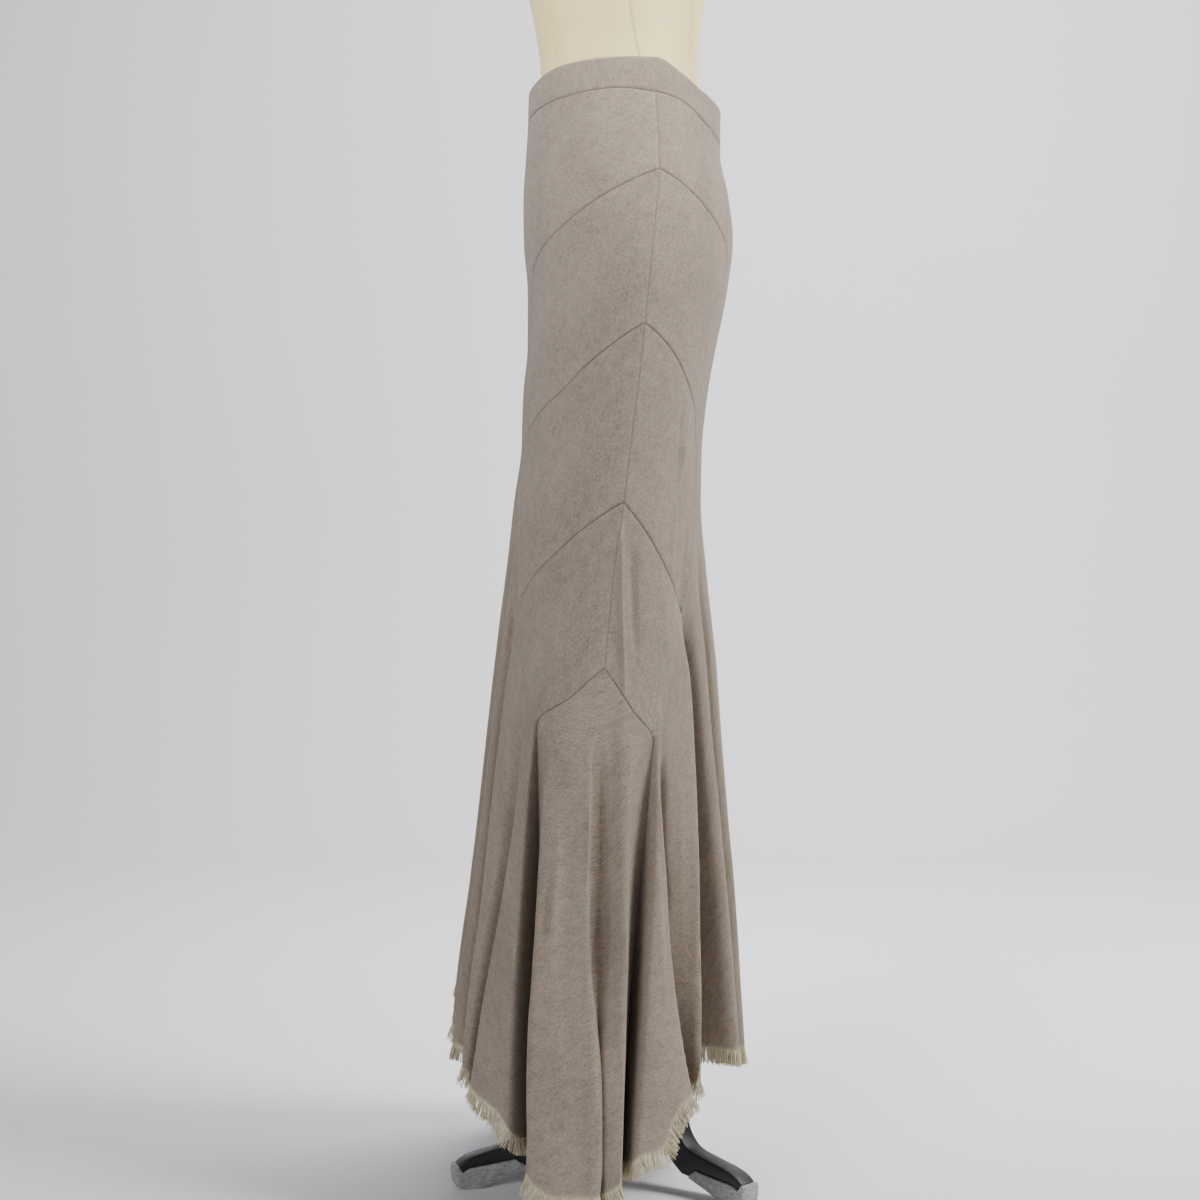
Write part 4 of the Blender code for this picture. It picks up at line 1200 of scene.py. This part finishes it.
# One leg, a board standing on edge. distance from the post, height
LEG_OUTER_EDGE = (
    (0.058, 0.190),
    (0.068, 0.150),
    (0.0755, 0.110),
    (0.081, 0.0804),
    (0.0858, 0.0617),
    (0.0935, 0.0500),
    (0.1035, 0.0430),
    (0.1236, 0.0380),
    (0.1484, 0.0325),
    (0.1600, 0.0280),
    (0.1673, 0.0226),
)
LEG_UNDERSIDE = ((0.1620, 0.0167), (0.1566, 0.0200), (0.1346, 0.0228), (0.1092, 0.0262), (0.0992, 0.0185))
LEG_INNER_EDGE = (
    (0.0908, 0.0196),
    (0.0804, 0.0274),
    (0.0705, 0.0364),
    (0.0652, 0.0426),
    (0.0560, 0.0600),
    (0.0500, 0.0820),
    (0.0430, 0.1080),
    (0.0303, 0.1280),
    (0.0303, 0.1900),
)
# The tape round the foot: a wedge under the leg with a lip that goes up round the toe.
PAD_PROFILE = (
    (0.1000, 0.0180),
    (0.1270, 0.0082),
    (0.1440, 0.0000),
    (0.1620, 0.0000),
    (0.1690, 0.0040),
    (0.1708, 0.0150),
    (0.1702, 0.0205),
    (0.1690, 0.0225),
    (0.1678, 0.0221),
    (0.1628, 0.0159),
    (0.1568, 0.0196),
    (0.1346, 0.0225),
    (0.1097, 0.0258),
)


def rounded(marks, steps=4):
    """A smooth line through marks."""
    line = []
    for i in range(len(marks) - 1):
        before, start = np.array(marks[max(i - 1, 0)]), np.array(marks[i])
        end, after = np.array(marks[i + 1]), np.array(marks[min(i + 2, len(marks) - 1)])
        for t in np.arange(steps) / steps:
            cubic = (end - before) * t + (2 * before - 5 * start + 4 * end - after) * t**2
            line.append(0.5 * (2 * start + cubic + (3 * start - before - 3 * end + after) * t**3))
    return [tuple(point) for point in line] + [tuple(marks[-1])]


def board(name, outline, thickness, angle, edge, finish):
    """An upright board cut to an outline, with rubbed edges, pointing out at an angle."""
    turn = math.radians(angle)
    out = np.array((math.sin(turn), -math.cos(turn), 0))
    across = np.array((math.cos(turn), math.sin(turn), 0)) * thickness / 2
    points = []
    for side in (1, -1):
        points += [out * d + across * side + np.array((0, AXIS_Y, z)) for d, z in outline]
    count = len(outline)
    faces = [tuple(range(count)), tuple(range(2 * count - 1, count - 1, -1))]
    faces += [(k, (k + 1) % count, (k + 1) % count + count, k + count) for k in range(count)]
    mesh = bpy.data.meshes.new(name)
    mesh.from_pydata(points, [], faces)

    def rub_edges(shape):
        outer = [e for e in shape.edges if len({v.index // count for v in e.verts}) == 1]
        bmesh.ops.bevel(shape, geom=outer, offset=edge, segments=3, profile=0.5, affect="EDGES")
        bmesh.ops.triangulate(shape, faces=[face for face in shape.faces if len(face.verts) > 4])

    face_outwards(mesh, more_work=rub_edges)
    return add_object(name, mesh, finish, sharp=40)


def make_stand(paint, tape):
    """Three painted legs with tape round their feet; the post and the hub take the same paint."""
    outline = [*rounded(LEG_OUTER_EDGE), *LEG_UNDERSIDE, *rounded(LEG_INNER_EDGE[:-1]), LEG_INNER_EDGE[-1]]
    for where, angle in LEG_ANGLES.items():
        leg = board(f"leg_{where}_board", outline, LEG_THICKNESS, angle, LEG_EDGE, paint)
        finished(leg, "stand_paint", f"leg_{where}")
        pad = board(f"tape_{where}_wrap", PAD_PROFILE, PAD_THICKNESS, angle, TAPE_EDGE, tape)
        finished(pad, "tape", f"tape_{where}")
    for name in ("post", "hub"):
        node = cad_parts[name]
        for slot in node.material_slots:
            slot.material = paint


# ---- Floor, light and camera ----


def make_stage():
    """A pale floor that curves up into a backdrop behind the object."""
    half_width, front, behind, height, bend = 5.0, 4.0, -2.6, 4.5, 1.2
    profile = [(front, 0.0)]
    for turn in np.linspace(0, math.pi / 2, 17):
        profile.append((behind - bend * math.sin(turn), bend * (1 - math.cos(turn))))
    profile.append((behind - bend, height))
    points = [(x, y, z) for x, z in profile for y in (-half_width, half_width)]
    faces = [(2 * k, 2 * k + 1, 2 * k + 3, 2 * k + 2) for k in range(len(profile) - 1)]
    mesh = bpy.data.meshes.new("studio_floor")
    mesh.from_pydata(points, [], faces)
    made, tree, shader = new_material("studio_paper", {"Roughness": 0.9})
    cloud = tree.noise(tree.place(), (1.5, 1.5, 1.5), 2.0)
    tone = tree.mix(cloud, colour(0.79, 0.765, 0.80), colour(0.83, 0.805, 0.835))
    tree.feed(shader.inputs["Base Color"], tone)
    stage = add_object("studio_floor", mesh, made)


# A key light behind the skirt's left, one on the waist, one in front aimed at the hem, one on the backdrop.
# name, place, target, size, power, tint, degrees that it spreads
LIGHTS = (
    ("key", (0.6, 1.6, 2.2), (0, 0, 0.9), 0.8, 84, (1.0, 0.99, 0.97), 180),
    ("top", (1.1, -0.5, 2.1), (0, 0, 1.45), 0.6, 6.5, (1.0, 1.0, 0.98), 60),
    ("front", (2.0, -1.2, 1.2), (0, 0, 0.15), 1.2, 27, (0.98, 0.985, 1.0), 180),
    ("backdrop", (-1.0, 0.9, 2.8), (-3.8, 0.2, 1.0), 2.4, 168, (0.98, 0.985, 1.0), 180),
)
ALL_ROUND, ALL_ROUND_TINT = 0.15, (0.93, 0.95, 1.0)
# The camera stands this far off the post to the skirt's left, in front of the post, and above the floor.
CAMERA_DISTANCE, CAMERA_FORWARD, CAMERA_HEIGHT = 2.2, 0.020, 0.575
LENS, FILM_WIDTH = 66, 36  # millimetres


def soft_light(name, place, target, size, power, tint, spread):
    """A square light aimed at a target."""
    data = bpy.data.lights.new(name, "AREA")
    data.spread = math.radians(spread)
    data.shape, data.size, data.energy, data.color = "SQUARE", size, power, tint
    lamp = bpy.data.objects.new(name, data)
    lamp.location = place
    lamp.rotation_euler = (Vector(target) - Vector(place)).to_track_quat("-Z", "Y").to_euler()
    bpy.context.scene.collection.objects.link(lamp)


def make_lights():
    """The lamps, and a little light from all round."""
    for light in LIGHTS:
        soft_light(*light)
    world = bpy.data.worlds.new("studio")
    world.use_nodes = True
    ambient = world.node_tree.nodes["Background"]
    ambient.inputs["Color"].default_value = colour(*ALL_ROUND_TINT)
    ambient.inputs["Strength"].default_value = ALL_ROUND
    bpy.context.scene.world = world


def make_camera():
    """Level with the knee, square on the wearer's left side."""
    data = bpy.data.cameras.new("camera")
    data.lens, data.sensor_width = LENS, FILM_WIDTH
    camera = bpy.data.objects.new("camera", data)
    camera.location = (CAMERA_DISTANCE, AXIS_Y - CAMERA_FORWARD, CAMERA_HEIGHT)
    camera.rotation_euler = (math.pi / 2, 0, math.pi / 2)
    bpy.context.scene.collection.objects.link(camera)
    bpy.context.scene.camera = camera


def main():
    linen = linen_material(slub_weave())
    thread, cover, paint, tape = thread_material(), cover_material(), paint_material(), tape_material()
    pairs = strip_grids()
    sheets = make_skirt(pairs, linen)
    fringes = make_fringes(pairs, thread)
    form = make_form(cover)
    make_stand(paint, tape)
    declare_sheets(sheets)
    make_stage()
    make_lights()
    make_camera()
    bpy.context.view_layer.update()


main()
